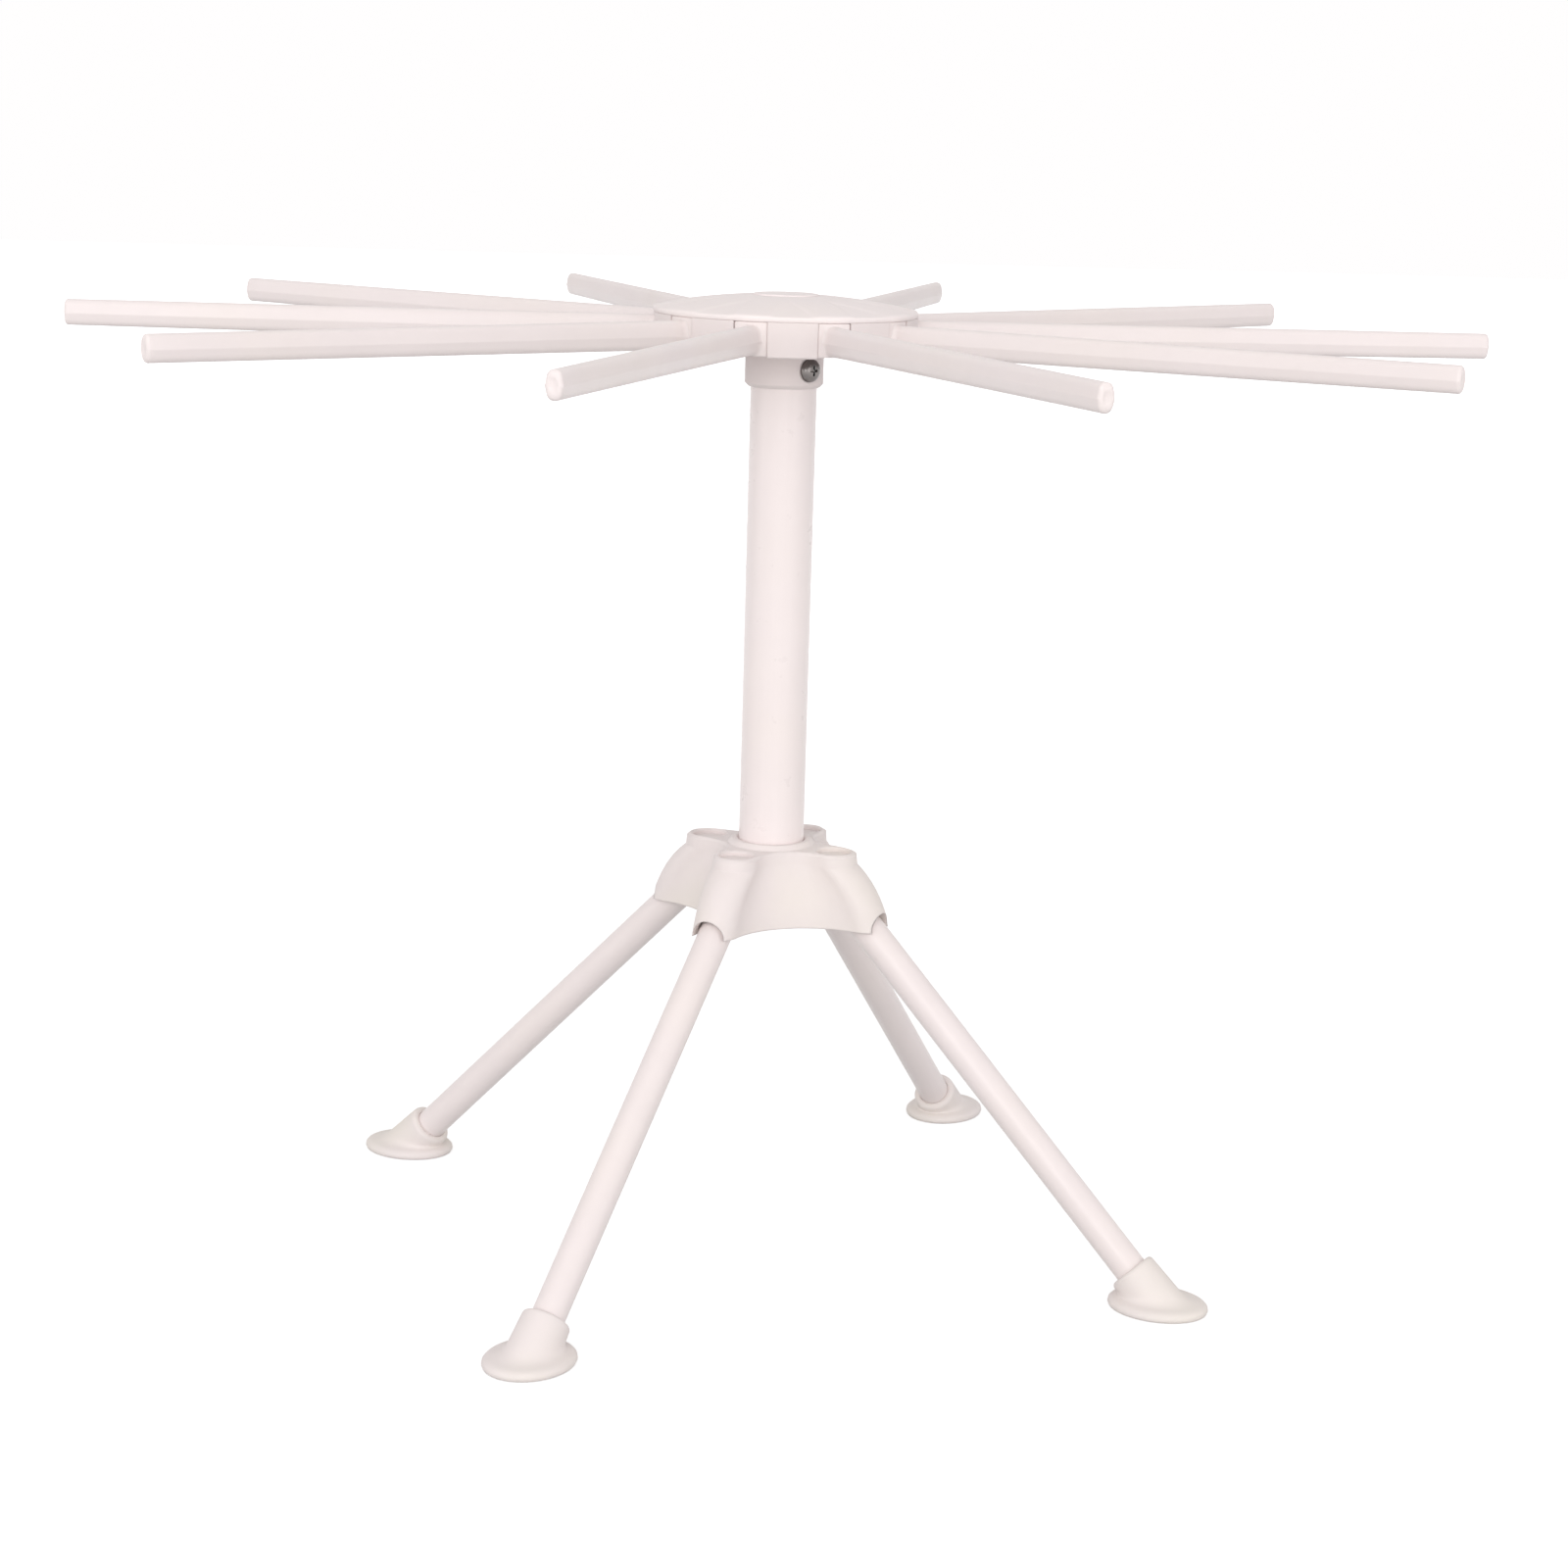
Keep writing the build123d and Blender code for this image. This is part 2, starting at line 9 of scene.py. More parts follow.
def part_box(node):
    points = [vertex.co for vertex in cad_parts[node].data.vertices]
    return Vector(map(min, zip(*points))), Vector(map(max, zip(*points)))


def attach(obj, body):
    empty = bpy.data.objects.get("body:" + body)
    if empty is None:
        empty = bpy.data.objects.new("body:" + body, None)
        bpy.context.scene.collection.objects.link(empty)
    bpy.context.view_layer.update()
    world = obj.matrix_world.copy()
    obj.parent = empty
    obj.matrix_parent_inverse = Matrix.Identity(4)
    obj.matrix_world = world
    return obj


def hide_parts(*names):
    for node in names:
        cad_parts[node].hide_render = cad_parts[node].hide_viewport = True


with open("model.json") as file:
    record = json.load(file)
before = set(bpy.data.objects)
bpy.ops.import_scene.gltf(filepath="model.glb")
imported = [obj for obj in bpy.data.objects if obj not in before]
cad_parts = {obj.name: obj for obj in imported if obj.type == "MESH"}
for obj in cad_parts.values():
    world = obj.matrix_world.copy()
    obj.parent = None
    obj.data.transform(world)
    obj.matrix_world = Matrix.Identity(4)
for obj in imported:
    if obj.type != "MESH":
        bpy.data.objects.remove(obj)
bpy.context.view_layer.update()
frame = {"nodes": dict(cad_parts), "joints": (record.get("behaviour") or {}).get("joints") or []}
scene = bpy.context.scene
nodes = frame["nodes"]
joints = {joint["name"]: joint for joint in frame["joints"]}
print("frame loaded:", len(nodes), "nodes")

# Camera at the photograph's angle
cameraSettings = {
    "location": (-0.05382, -0.95574, 0.34951),
    "rotation": (77.791, -1.607, -3.084),  # degrees
    "lens": 73.14,
    "sensor": 36.0,
    "clipStart": 0.05,
    "clipEnd": 20.0,
}
cameraData = bpy.data.cameras.new("camera")
cameraData.lens = cameraSettings["lens"]
cameraData.sensor_width = cameraSettings["sensor"]
cameraData.clip_start = cameraSettings["clipStart"]
cameraData.clip_end = cameraSettings["clipEnd"]
camera = bpy.data.objects.new("camera", cameraData)
camera.location = cameraSettings["location"]
camera.rotation_euler = [math.radians(angle) for angle in cameraSettings["rotation"]]
scene.collection.objects.link(camera)
scene.camera = camera
scene.view_settings.view_transform = "Standard"
print("camera set")


# Small helpers for node trees
def addNode(tree, kind, **settings):
    node = tree.nodes.new(kind)
    for key, value in settings.items():
        if key == "inputs":
            for name, given in value.items():
                node.inputs[name].default_value = given
        else:
            setattr(node, key, value)
    return node


def newGroup(name, inputs, outputs):
    group = bpy.data.node_groups.new(name, "ShaderNodeTree")
    for label, kind, value in inputs:
        socket = group.interface.new_socket(name=label, in_out="INPUT", socket_type=kind)
        if value is not None:
            socket.default_value = value
    for label, kind in outputs:
        group.interface.new_socket(name=label, in_out="OUTPUT", socket_type=kind)
    return group, group.nodes.new("NodeGroupInput"), group.nodes.new("NodeGroupOutput")


def placeGroup(tree, group, values):
    node = addNode(tree, "ShaderNodeGroup", node_tree=group)
    for name, value in values.items():
        node.inputs[name].default_value = value
    return node


# Moulded surface: faint colour drift, warm patches, fine grain and soft sheen changes
mouldedTexture = {
    "drift": {"Scale": 45.0, "Detail": 4.0, "Roughness": 0.55},
    "driftRange": {"From Min": 0.3, "From Max": 0.7, "To Min": -1.0},
    "patches": {"Scale": 22.0, "Detail": 2.0, "Roughness": 0.4},
    "patchRange": {"From Min": 0.45, "From Max": 0.68},
    "grain": {"Detail": 3.0, "Roughness": 0.6},
    "pits": {"Smoothness": 0.6},
    "pitShare": 0.5,
    "sheen": {"Scale": 160.0, "Detail": 5.0, "Roughness": 0.65},
    "sheenRange": {"From Min": 0.25, "From Max": 0.75, "To Min": -0.05, "To Max": 0.06},
}


def makeMouldedGroup(texture):
    group, given, out = newGroup(
        "mouldedSurface",
        [
            ("Colour", "NodeSocketColor", (0.9, 0.8, 0.8, 1)),
            ("Warm Colour", "NodeSocketColor", (0.9, 0.8, 0.8, 1)),
            ("Drift", "NodeSocketFloat", 0.02),
            ("Grain Size", "NodeSocketFloat", 2500.0),
            ("Roughness", "NodeSocketFloat", 0.4),
        ],
        [("Colour", "NodeSocketColor"), ("Roughness", "NodeSocketFloat"), ("Height", "NodeSocketFloat")],
    )
    link = group.links.new
    place = addNode(group, "ShaderNodeTexCoord")
    drift = addNode(group, "ShaderNodeTexNoise", inputs=texture["drift"])
    link(place.outputs["Object"], drift.inputs["Vector"])
    driftRange = addNode(group, "ShaderNodeMapRange", inputs=texture["driftRange"])
    link(drift.outputs["Fac"], driftRange.inputs["Value"])
    driftAmount = addNode(group, "ShaderNodeMath", operation="MULTIPLY_ADD", inputs={2: 1.0})
    link(driftRange.outputs["Result"], driftAmount.inputs[0])
    link(given.outputs["Drift"], driftAmount.inputs[1])
    patches = addNode(group, "ShaderNodeTexNoise", inputs=texture["patches"])
    link(place.outputs["Object"], patches.inputs["Vector"])
    patchRange = addNode(group, "ShaderNodeMapRange", clamp=True, inputs=texture["patchRange"])
    link(patches.outputs["Fac"], patchRange.inputs["Value"])
    tint = addNode(group, "ShaderNodeMix", data_type="RGBA")
    link(patchRange.outputs["Result"], tint.inputs["Factor"])
    link(given.outputs["Colour"], tint.inputs["A"])
    link(given.outputs["Warm Colour"], tint.inputs["B"])
    shade = addNode(group, "ShaderNodeVectorMath", operation="SCALE")
    link(tint.outputs["Result"], shade.inputs[0])
    link(driftAmount.outputs[0], shade.inputs["Scale"])
    link(shade.outputs[0], out.inputs["Colour"])

    grain = addNode(group, "ShaderNodeTexNoise", inputs=texture["grain"])
    link(place.outputs["Object"], grain.inputs["Vector"])
    link(given.outputs["Grain Size"], grain.inputs["Scale"])
    pits = addNode(group, "ShaderNodeTexVoronoi", feature="SMOOTH_F1", inputs=texture["pits"])
    link(place.outputs["Object"], pits.inputs["Vector"])
    link(given.outputs["Grain Size"], pits.inputs["Scale"])
    mixed = addNode(group, "ShaderNodeMath", operation="MULTIPLY_ADD", inputs={1: texture["pitShare"]})
    link(pits.outputs["Distance"], mixed.inputs[0])
    link(grain.outputs["Fac"], mixed.inputs[2])
    link(mixed.outputs[0], out.inputs["Height"])

    sheen = addNode(group, "ShaderNodeTexNoise", inputs=texture["sheen"])
    link(place.outputs["Object"], sheen.inputs["Vector"])
    sheenRange = addNode(group, "ShaderNodeMapRange", inputs=texture["sheenRange"])
    link(sheen.outputs["Fac"], sheenRange.inputs["Value"])
    rough = addNode(group, "ShaderNodeMath", operation="ADD")
    link(sheenRange.outputs["Result"], rough.inputs[0])
    link(given.outputs["Roughness"], rough.inputs[1])
    link(rough.outputs[0], out.inputs["Roughness"])
    return group


# Edge mask: where the softened normal leaves the true one, broken up by noise; it marks the edges for wear and for a
# painted highlight
edgeTexture = {"Scale": 420.0, "Detail": 4.0}


def makeEdgeGroup(texture):
    group, given, out = newGroup(
        "edgeWear",
        [
            ("Soft Normal", "NodeSocketVector", None),
            ("True Normal", "NodeSocketVector", None),
            ("Width", "NodeSocketFloat", 0.06),
            ("Break Up", "NodeSocketFloat", 0.5),
        ],
        [("Mask", "NodeSocketFloat")],
    )
    link = group.links.new
    together = addNode(group, "ShaderNodeVectorMath", operation="DOT_PRODUCT")
    link(given.outputs["Soft Normal"], together.inputs[0])
    link(given.outputs["True Normal"], together.inputs[1])
    apart = addNode(group, "ShaderNodeMath", operation="SUBTRACT", inputs={0: 1.0})
    link(together.outputs["Value"], apart.inputs[1])
    spread = addNode(group, "ShaderNodeMapRange", clamp=True)
    link(apart.outputs[0], spread.inputs["Value"])
    link(given.outputs["Width"], spread.inputs["From Max"])
    place = addNode(group, "ShaderNodeTexCoord")
    noise = addNode(group, "ShaderNodeTexNoise", inputs=texture)
    link(place.outputs["Object"], noise.inputs["Vector"])
    broken = addNode(group, "ShaderNodeMath", operation="MULTIPLY")
    link(noise.outputs["Fac"], broken.inputs[0])
    link(given.outputs["Break Up"], broken.inputs[1])
    kept = addNode(group, "ShaderNodeMath", operation="SUBTRACT", use_clamp=True, inputs={0: 1.0})
    link(broken.outputs[0], kept.inputs[1])
    mask = addNode(group, "ShaderNodeMath", operation="MULTIPLY", use_clamp=True)
    link(spread.outputs["Result"], mask.inputs[0])
    link(kept.outputs[0], mask.inputs[1])
    link(mask.outputs[0], out.inputs["Mask"])
    return group


# Handling marks: fine crossing scuffs and a little settled dust on faces that look up
handlingTexture = {
    "crossings": (0.45, -0.9),  # turns of the two sets of scuffs, in radians
    "tilt": 0.6,
    "stretch": (1, 0.05, 1),
    "lines": {"Detail": 2.0, "Roughness": 0.4},
    "lineRange": {"From Min": 0.66, "From Max": 0.74},
    "upwardRange": {"From Min": 0.55, "From Max": 1.0},
    "clumps": {"Scale": 90.0, "Detail": 6.0, "Roughness": 0.7},
}


def makeHandlingGroup(texture):
    group, given, out = newGroup(
        "handling",
        [
            ("Scuff Size", "NodeSocketFloat", 220.0),
            ("Scuffs", "NodeSocketFloat", 0.5),
            ("Dust", "NodeSocketFloat", 0.3),
        ],
        [("Scuff Mask", "NodeSocketFloat"), ("Dust Mask", "NodeSocketFloat")],
    )
    link = group.links.new
    place = addNode(group, "ShaderNodeTexCoord")
    crossings = []
    for angle in texture["crossings"]:
        turned = addNode(group, "ShaderNodeMapping", inputs={
            "Rotation": (angle, angle, texture["tilt"] * angle),
            "Scale": texture["stretch"],
        })
        link(place.outputs["Object"], turned.inputs["Vector"])
        lines = addNode(group, "ShaderNodeTexNoise", inputs=texture["lines"])
        link(turned.outputs["Vector"], lines.inputs["Vector"])
        link(given.outputs["Scuff Size"], lines.inputs["Scale"])
        thin = addNode(group, "ShaderNodeMapRange", clamp=True, inputs=texture["lineRange"])
        link(lines.outputs["Fac"], thin.inputs["Value"])
        crossings.append(thin)
    either = addNode(group, "ShaderNodeMath", operation="MAXIMUM")
    link(crossings[0].outputs["Result"], either.inputs[0])
    link(crossings[1].outputs["Result"], either.inputs[1])
    scuffs = addNode(group, "ShaderNodeMath", operation="MULTIPLY")
    link(either.outputs[0], scuffs.inputs[0])
    link(given.outputs["Scuffs"], scuffs.inputs[1])
    link(scuffs.outputs[0], out.inputs["Scuff Mask"])

    shape = addNode(group, "ShaderNodeNewGeometry")
    height = addNode(group, "ShaderNodeSeparateXYZ")
    link(shape.outputs["Normal"], height.inputs[0])
    upward = addNode(group, "ShaderNodeMapRange", clamp=True, inputs=texture["upwardRange"])
    link(height.outputs["Z"], upward.inputs["Value"])
    clumps = addNode(group, "ShaderNodeTexNoise", inputs=texture["clumps"])
    link(place.outputs["Object"], clumps.inputs["Vector"])
    settled = addNode(group, "ShaderNodeMath", operation="MULTIPLY")
    link(upward.outputs["Result"], settled.inputs[0])
    link(clumps.outputs["Fac"], settled.inputs[1])
    dust = addNode(group, "ShaderNodeMath", operation="MULTIPLY")
    link(settled.outputs[0], dust.inputs[0])
    link(given.outputs["Dust"], dust.inputs[1])
    link(dust.outputs[0], out.inputs["Dust Mask"])
    return group


# Flow streaks along a drawn tube or a long moulding
streakTexture = {"Detail": 3.0, "Roughness": 0.5}


def makeStreakGroup(texture):
    group, given, out = newGroup(
        "flowStreaks",
        [
            ("Along", "NodeSocketVector", (1.0, 1.0, 0.02)),
            ("Size", "NodeSocketFloat", 300.0),
            ("Amount", "NodeSocketFloat", 0.03),
        ],
        [("Shade", "NodeSocketFloat"), ("Height", "NodeSocketFloat")],
    )
    link = group.links.new
    place = addNode(group, "ShaderNodeTexCoord")
    stretched = addNode(group, "ShaderNodeVectorMath", operation="MULTIPLY")
    link(place.outputs["Object"], stretched.inputs[0])
    link(given.outputs["Along"], stretched.inputs[1])
    noise = addNode(group, "ShaderNodeTexNoise", inputs=texture)
    link(stretched.outputs[0], noise.inputs["Vector"])
    link(given.outputs["Size"], noise.inputs["Scale"])
    centred = addNode(group, "ShaderNodeMath", operation="SUBTRACT", inputs={1: 0.5})
    link(noise.outputs["Fac"], centred.inputs[0])
    shade = addNode(group, "ShaderNodeMath", operation="MULTIPLY_ADD", inputs={2: 1.0})
    link(centred.outputs[0], shade.inputs[0])
    link(given.outputs["Amount"], shade.inputs[1])
    link(shade.outputs[0], out.inputs["Shade"])
    link(noise.outputs["Fac"], out.inputs["Height"])
    return group


mouldedGroup = makeMouldedGroup(mouldedTexture)
edgeGroup = makeEdgeGroup(edgeTexture)
handlingGroup = makeHandlingGroup(handlingTexture)
streakGroup = makeStreakGroup(streakTexture)
print("shader groups made")


# Plastics: one resin, moulded or drawn in different ways; each part's colour is set a little lighter or darker as
# painted light and shade for the light it gets
rackPlastic = {
    "colour": (0.835, 0.757, 0.747, 1),
    "warmth": (1.0, 1.0, 0.985, 1),
    # lighter edge colour: partly wear, partly a painted highlight on the rims
    "wornColour": (0.92, 0.86, 0.85, 1),
    "dustColour": (0.70, 0.66, 0.62, 1),
    "drift": 0.012,
    "roughness": 0.36,
    "grainSize": 2200.0,
    "grainDepth": 0.00003,
    "specular": 0.4,
    "bevel": 0.00045,
    "streakAlong": (1.0, 1.0, 1.0),
    "streakAmount": 0.02,
    "ior": 1.5,
    "edgeWidth": 0.25,
    "edgeBreakUp": 0.8,
    "grainStrength": 0.4,
    "scuffs": 0.35,
    "scuffDulling": 0.16,
    "dust": 0.10,
    "dustDulling": 0.3,
}
# hub: colour a little darker, painted shade
hubPlastic = dict(rackPlastic, colour=(0.815, 0.736, 0.727, 1), roughness=0.5, specular=0.25, bevel=0.0004)
# cover: colour lighter, painted light
coverPlastic = dict(hubPlastic, colour=(0.895, 0.815, 0.806, 1), specular=0.4, bevel=0.0004)
# tube: colour lighter, painted light
tubePlastic = dict(
    rackPlastic, colour=(0.868, 0.787, 0.778, 1), roughness=0.3,
    streakAlong=(1.0, 1.0, 0.015), streakAmount=0.06, dust=0.0,
)
legPlastic = dict(rackPlastic, roughness=0.34, dust=0.05)
# base: colour a little darker, painted shade
basePlastic = dict(
    rackPlastic, colour=(0.808, 0.735, 0.721, 1), warmth=(0.995, 1.01, 0.955, 1),
    roughness=0.46, specular=0.3, grainDepth=0.00004, bevel=0.0007,
)
# feet: colour a little darker, painted shade
footPlastic = dict(basePlastic, colour=(0.812, 0.742, 0.727, 1), roughness=0.5, dust=0.15)


# Lighter colour where the softened normal shows an edge, partly wear and partly a painted highlight on the rims, and
# that normal for the bump
def wearAndHighlightEdges(tree, settings, colour):
    link = tree.links.new
    bevel = addNode(tree, "ShaderNodeBevel", samples=4, inputs={"Radius": settings["bevel"]})
    shape = addNode(tree, "ShaderNodeNewGeometry")
    edges = placeGroup(tree, edgeGroup, {"Width": settings["edgeWidth"], "Break Up": settings["edgeBreakUp"]})
    link(bevel.outputs["Normal"], edges.inputs["Soft Normal"])
    link(shape.outputs["Normal"], edges.inputs["True Normal"])
    # mixes in the lighter edge colour: wear and a painted highlight
    wornAndHighlighted = addNode(tree, "ShaderNodeMix", data_type="RGBA", inputs={"B": settings["wornColour"]})
    link(edges.outputs["Mask"], wornAndHighlighted.inputs["Factor"])
    link(colour, wornAndHighlighted.inputs["A"])
    return wornAndHighlighted.outputs["Result"], bevel.outputs["Normal"]


# Fine relief over the softened normal
def grainBump(tree, settings, height, normal):
    bump = addNode(tree, "ShaderNodeBump", inputs={
        "Strength": settings["grainStrength"], "Distance": settings["grainDepth"],
    })
    tree.links.new(height, bump.inputs["Height"])
    tree.links.new(normal, bump.inputs["Normal"])
    return bump.outputs["Normal"]


def makePlastic(name, settings):
    material = bpy.data.materials.new(name)
    material.use_nodes = True
    tree = material.node_tree
    link = tree.links.new
    shader = tree.nodes["Principled BSDF"]
    shader.inputs["IOR"].default_value = settings["ior"]
    shader.inputs["Specular IOR Level"].default_value = settings["specular"]
    surface = placeGroup(tree, mouldedGroup, {
        "Colour": settings["colour"],
        "Warm Colour": [level * share for level, share in zip(settings["colour"], settings["warmth"])],
        "Drift": settings["drift"],
        "Grain Size": settings["grainSize"],
        "Roughness": settings["roughness"],
    })
    streaks = placeGroup(tree, streakGroup, {"Along": settings["streakAlong"], "Amount": settings["streakAmount"]})
    handling = placeGroup(tree, handlingGroup, {"Scuffs": settings["scuffs"], "Dust": settings["dust"]})
    streaked = addNode(tree, "ShaderNodeVectorMath", operation="SCALE")
    link(surface.outputs["Colour"], streaked.inputs[0])
    link(streaks.outputs["Shade"], streaked.inputs["Scale"])

    # lighter edges: wear and a painted highlight
    wornAndHighlighted, softNormal = wearAndHighlightEdges(tree, settings, streaked.outputs[0])
    dusty = addNode(tree, "ShaderNodeMix", data_type="RGBA", inputs={"B": settings["dustColour"]})
    link(handling.outputs["Dust Mask"], dusty.inputs["Factor"])
    link(wornAndHighlighted, dusty.inputs["A"])
    link(dusty.outputs["Result"], shader.inputs["Base Color"])

    scuffed = addNode(tree, "ShaderNodeMath", operation="MULTIPLY_ADD", inputs={1: settings["scuffDulling"]})
    link(handling.outputs["Scuff Mask"], scuffed.inputs[0])
    link(surface.outputs["Roughness"], scuffed.inputs[2])
    dulling = {1: settings["dustDulling"]}
    dulled = addNode(tree, "ShaderNodeMath", operation="MULTIPLY_ADD", use_clamp=True, inputs=dulling)
    link(handling.outputs["Dust Mask"], dulled.inputs[0])
    link(scuffed.outputs[0], dulled.inputs[2])
    link(dulled.outputs[0], shader.inputs["Roughness"])

    relief = addNode(tree, "ShaderNodeMath", operation="ADD")
    link(surface.outputs["Height"], relief.inputs[0])
    link(streaks.outputs["Height"], relief.inputs[1])
    link(grainBump(tree, settings, relief.outputs[0], softNormal), shader.inputs["Normal"])
    return material


# Screw steel: dark, uneven, and bright on its edges, partly from wear and partly as a painted highlight
screwSteel = {
    "colour": (0.17, 0.155, 0.15, 1),
    # bright edge colour: partly wear, partly a painted highlight
    "wornColour": (0.75, 0.74, 0.73, 1),
    "roughness": 0.22,
    "grainSize": 5000.0,
    "grainDepth": 0.00002,
    "bevel": 0.00015,
    "drift": 0.12,
    "scuffSize": 900.0,
    "scuffs": 0.6,
    "scuffDulling": 0.25,
    "edgeWidth": 0.2,
    "edgeBreakUp": 0.5,
    "grainStrength": 0.3,
}


def makeSteel(name, settings):
    material = bpy.data.materials.new(name)
    material.use_nodes = True
    tree = material.node_tree
    link = tree.links.new
    shader = tree.nodes["Principled BSDF"]
    shader.inputs["Metallic"].default_value = 1.0
    surface = placeGroup(tree, mouldedGroup, {
        "Colour": settings["colour"],
        "Warm Colour": settings["colour"],
        "Drift": settings["drift"],
        "Grain Size": settings["grainSize"],
        "Roughness": settings["roughness"],
    })
    handling = placeGroup(tree, handlingGroup, {
        "Scuff Size": settings["scuffSize"], "Scuffs": settings["scuffs"], "Dust": 0.0,
    })
    # lighter edges: wear and a painted highlight
    wornAndHighlighted, softNormal = wearAndHighlightEdges(tree, settings, surface.outputs["Colour"])
    link(wornAndHighlighted, shader.inputs["Base Color"])
    dulling = {1: settings["scuffDulling"]}
    scuffed = addNode(tree, "ShaderNodeMath", operation="MULTIPLY_ADD", use_clamp=True, inputs=dulling)
    link(handling.outputs["Scuff Mask"], scuffed.inputs[0])
    link(surface.outputs["Roughness"], scuffed.inputs[2])
    link(scuffed.outputs[0], shader.inputs["Roughness"])
    link(grainBump(tree, settings, surface.outputs["Height"], softNormal), shader.inputs["Normal"])
    return material


armMaterial = makePlastic("armPlastic", rackPlastic)
hubMaterial = makePlastic("hubPlastic", hubPlastic)
coverMaterial = makePlastic("coverPlastic", coverPlastic)
tubeMaterial = makePlastic("tubePlastic", tubePlastic)
legMaterial = makePlastic("legPlastic", legPlastic)
baseMaterial = makePlastic("basePlastic", basePlastic)
footMaterial = makePlastic("footPlastic", footPlastic)
steelMaterial = makeSteel("screwSteel", screwSteel)


def materialFor(name):
    for start, material in (
        ("arm", armMaterial), ("hub_body", hubMaterial), ("hub_cover", coverMaterial), ("cover_cap", coverMaterial),
        ("column", tubeMaterial), ("leg", legMaterial), ("base", baseMaterial), ("foot", footMaterial),
    ):
        if name.startswith(start):
            return material
    return steelMaterial


for name, node in nodes.items():
    node.data.materials.clear()
    node.data.materials.append(materialFor(name))
print("materials made")


# Skins closed loops of equal length one after another, with a fan at both ends
def loopMesh(name, loops):
    mesh = bpy.data.meshes.new(name)
    points = [point for loop in loops for point in loop]
    count = len(loops[0])
    faces = []
    for ring in range(len(loops) - 1):
        for step in range(count):
            following = (step + 1) % count
            start = ring * count
            faces.append((start + step, start + following, start + count + following, start + count + step))
    for ring, outward in ((0, False), (len(loops) - 1, True)):
        centre = sum((Vector(point) for point in loops[ring]), Vector()) / count
        points.append(centre)
        for step in range(count):
            face = (ring * count + step, ring * count + (step + 1) % count, len(points) - 1)
            faces.append(face if outward else face[::-1])
    mesh.from_pydata([tuple(point) for point in points], [], faces)
    mesh.update()
    return mesh


def joinMeshes(name, meshes):
    build = bmesh.new()
    for mesh in meshes:
        build.from_mesh(mesh)
        bpy.data.meshes.remove(mesh)
    bmesh.ops.recalc_face_normals(build, faces=build.faces)
    joined = bpy.data.meshes.new(name)
    build.to_mesh(joined)
    build.free()
    joined.shade_smooth()
    return joined


def placePiece(name, mesh, place, material, body, node):
    mesh = mesh.copy()
    mesh.transform(place)
    mesh.materials.clear()
    mesh.materials.append(material)
    piece = bpy.data.objects.new(name, mesh)
    scene.collection.objects.link(piece)
    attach(piece, body)
    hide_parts(node)
    return piece


# Frame at a hinge: x points away from the column, y along the hinge axis, z up
def jointPlace(jointName, height=None):
    position = Vector(joints[jointName]["pos_m"])
    outward = Vector((position.x, position.y, 0)).normalized()
    sideways = Vector((0, 0, 1)).cross(outward)
    if height is not None:
        position.z = height
    turn = Matrix((outward, sideways, (0, 0, 1))).transposed().to_4x4()
    return Matrix.Translation(position) @ turn


def circleLoop(radius, x, count, axis="Y"):
    angles = [2 * math.pi * step / count for step in range(count)]
    if axis == "Y":
        return [(radius * math.cos(a), x, radius * math.sin(a)) for a in angles]
    return [(radius * math.cos(a), radius * math.sin(a), x) for a in angles]


# Arm: tapering rod with a parting ridge on each flank, a knuckle and two pins
armShape = {
    "reach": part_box("arm_01")[1][0],
    "rootHeight": 0.0086,
    "rootWidth": 0.0060,
    "rootDrop": 0.0008,
    "tipHeight": 0.0076,
    "tipWidth": 0.0049,
    "ridgeDrop": 0.08,  # ridge under the middle, as a share of the half height
    "shoulderSide": 0.84,  # where a flat flank meets the rounded top or bottom
    "shoulderRise": 0.52,
    "tipRound": 0.0011,
    "sinkDepth": 0.00015,
    "flareLength": 0.0024,
    "flareWidth": 0.0013,
    "flankPoints": (0.05, 0.12, 0.5, 0.88),  # shares of the way from the ridge to the shoulder
    "roundSteps": 9,
    "overlap": 0.002,  # how far the rod starts inside the knuckle
    "faceInset": 0.0002,
    "flareLift": 0.35,
    "flareSteps": 8,
    "bodySteps": 24,
    "tipSteps": 6,
    "tipDish": (0.46, 0.36),  # rim and floor of the sunken end
    "knuckleWidth": 0.0099,
    "knuckleTop": 0.00455,
    "knuckleBottom": 0.0053,
    "knuckleRound": 0.00035,
    "hubRadius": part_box("hub_body")[1][0],
    "pinRadius": 0.0020,
    "pinLength": 0.0024,
    "pinShoulder": 0.9,
    "pinEnd": 0.88,
    "pinOverlap": 0.001,
    "pinSteps": 32,
    "knuckleEnds": ((-1, 1.0), (-0.985, 0.45), (-0.95, 0.12), (-0.9, 0.0)),  # place, rounding
    "knuckleBands": 5,
    "backSteps": 12,
    "cornerSteps": 4,
}


# Half a section from the ridge to the middle of the top: a flat flank, then a round that leaves it smoothly
def rodQuarter(shape, towards):
    ridge = Vector((1.0, -shape["ridgeDrop"]))
    shoulder = Vector((shape["shoulderSide"], towards * shape["shoulderRise"]))
    summit = Vector((0.0, towards))
    slope = (shoulder - ridge) / (shoulder - ridge).y
    corner = shoulder + slope * (towards - shoulder.y)
    points = [ridge.lerp(shoulder, share) for share in shape["flankPoints"]]
    for step in range(shape["roundSteps"] + 1):
        share = step / shape["roundSteps"]
        points.append(shoulder.lerp(corner, share).lerp(corner.lerp(summit, share), share))
    return points


def rodLoop(shape, x, width, height, middle, scale=1.0):
    top, bottom = rodQuarter(shape, 1), rodQuarter(shape, -1)
    ridge = Vector((1.0, -shape["ridgeDrop"]))
    half = [ridge] + top + [Vector((-point.x, point.y)) for point in reversed(top[:-1])]
    half += [Vector((-ridge.x, ridge.y))] + [Vector((-point.x, point.y)) for point in bottom]
    half += list(reversed(bottom[:-1]))
    return [(x, point.x * width / 2 * scale, middle + point.y * height / 2 * scale) for point in half]


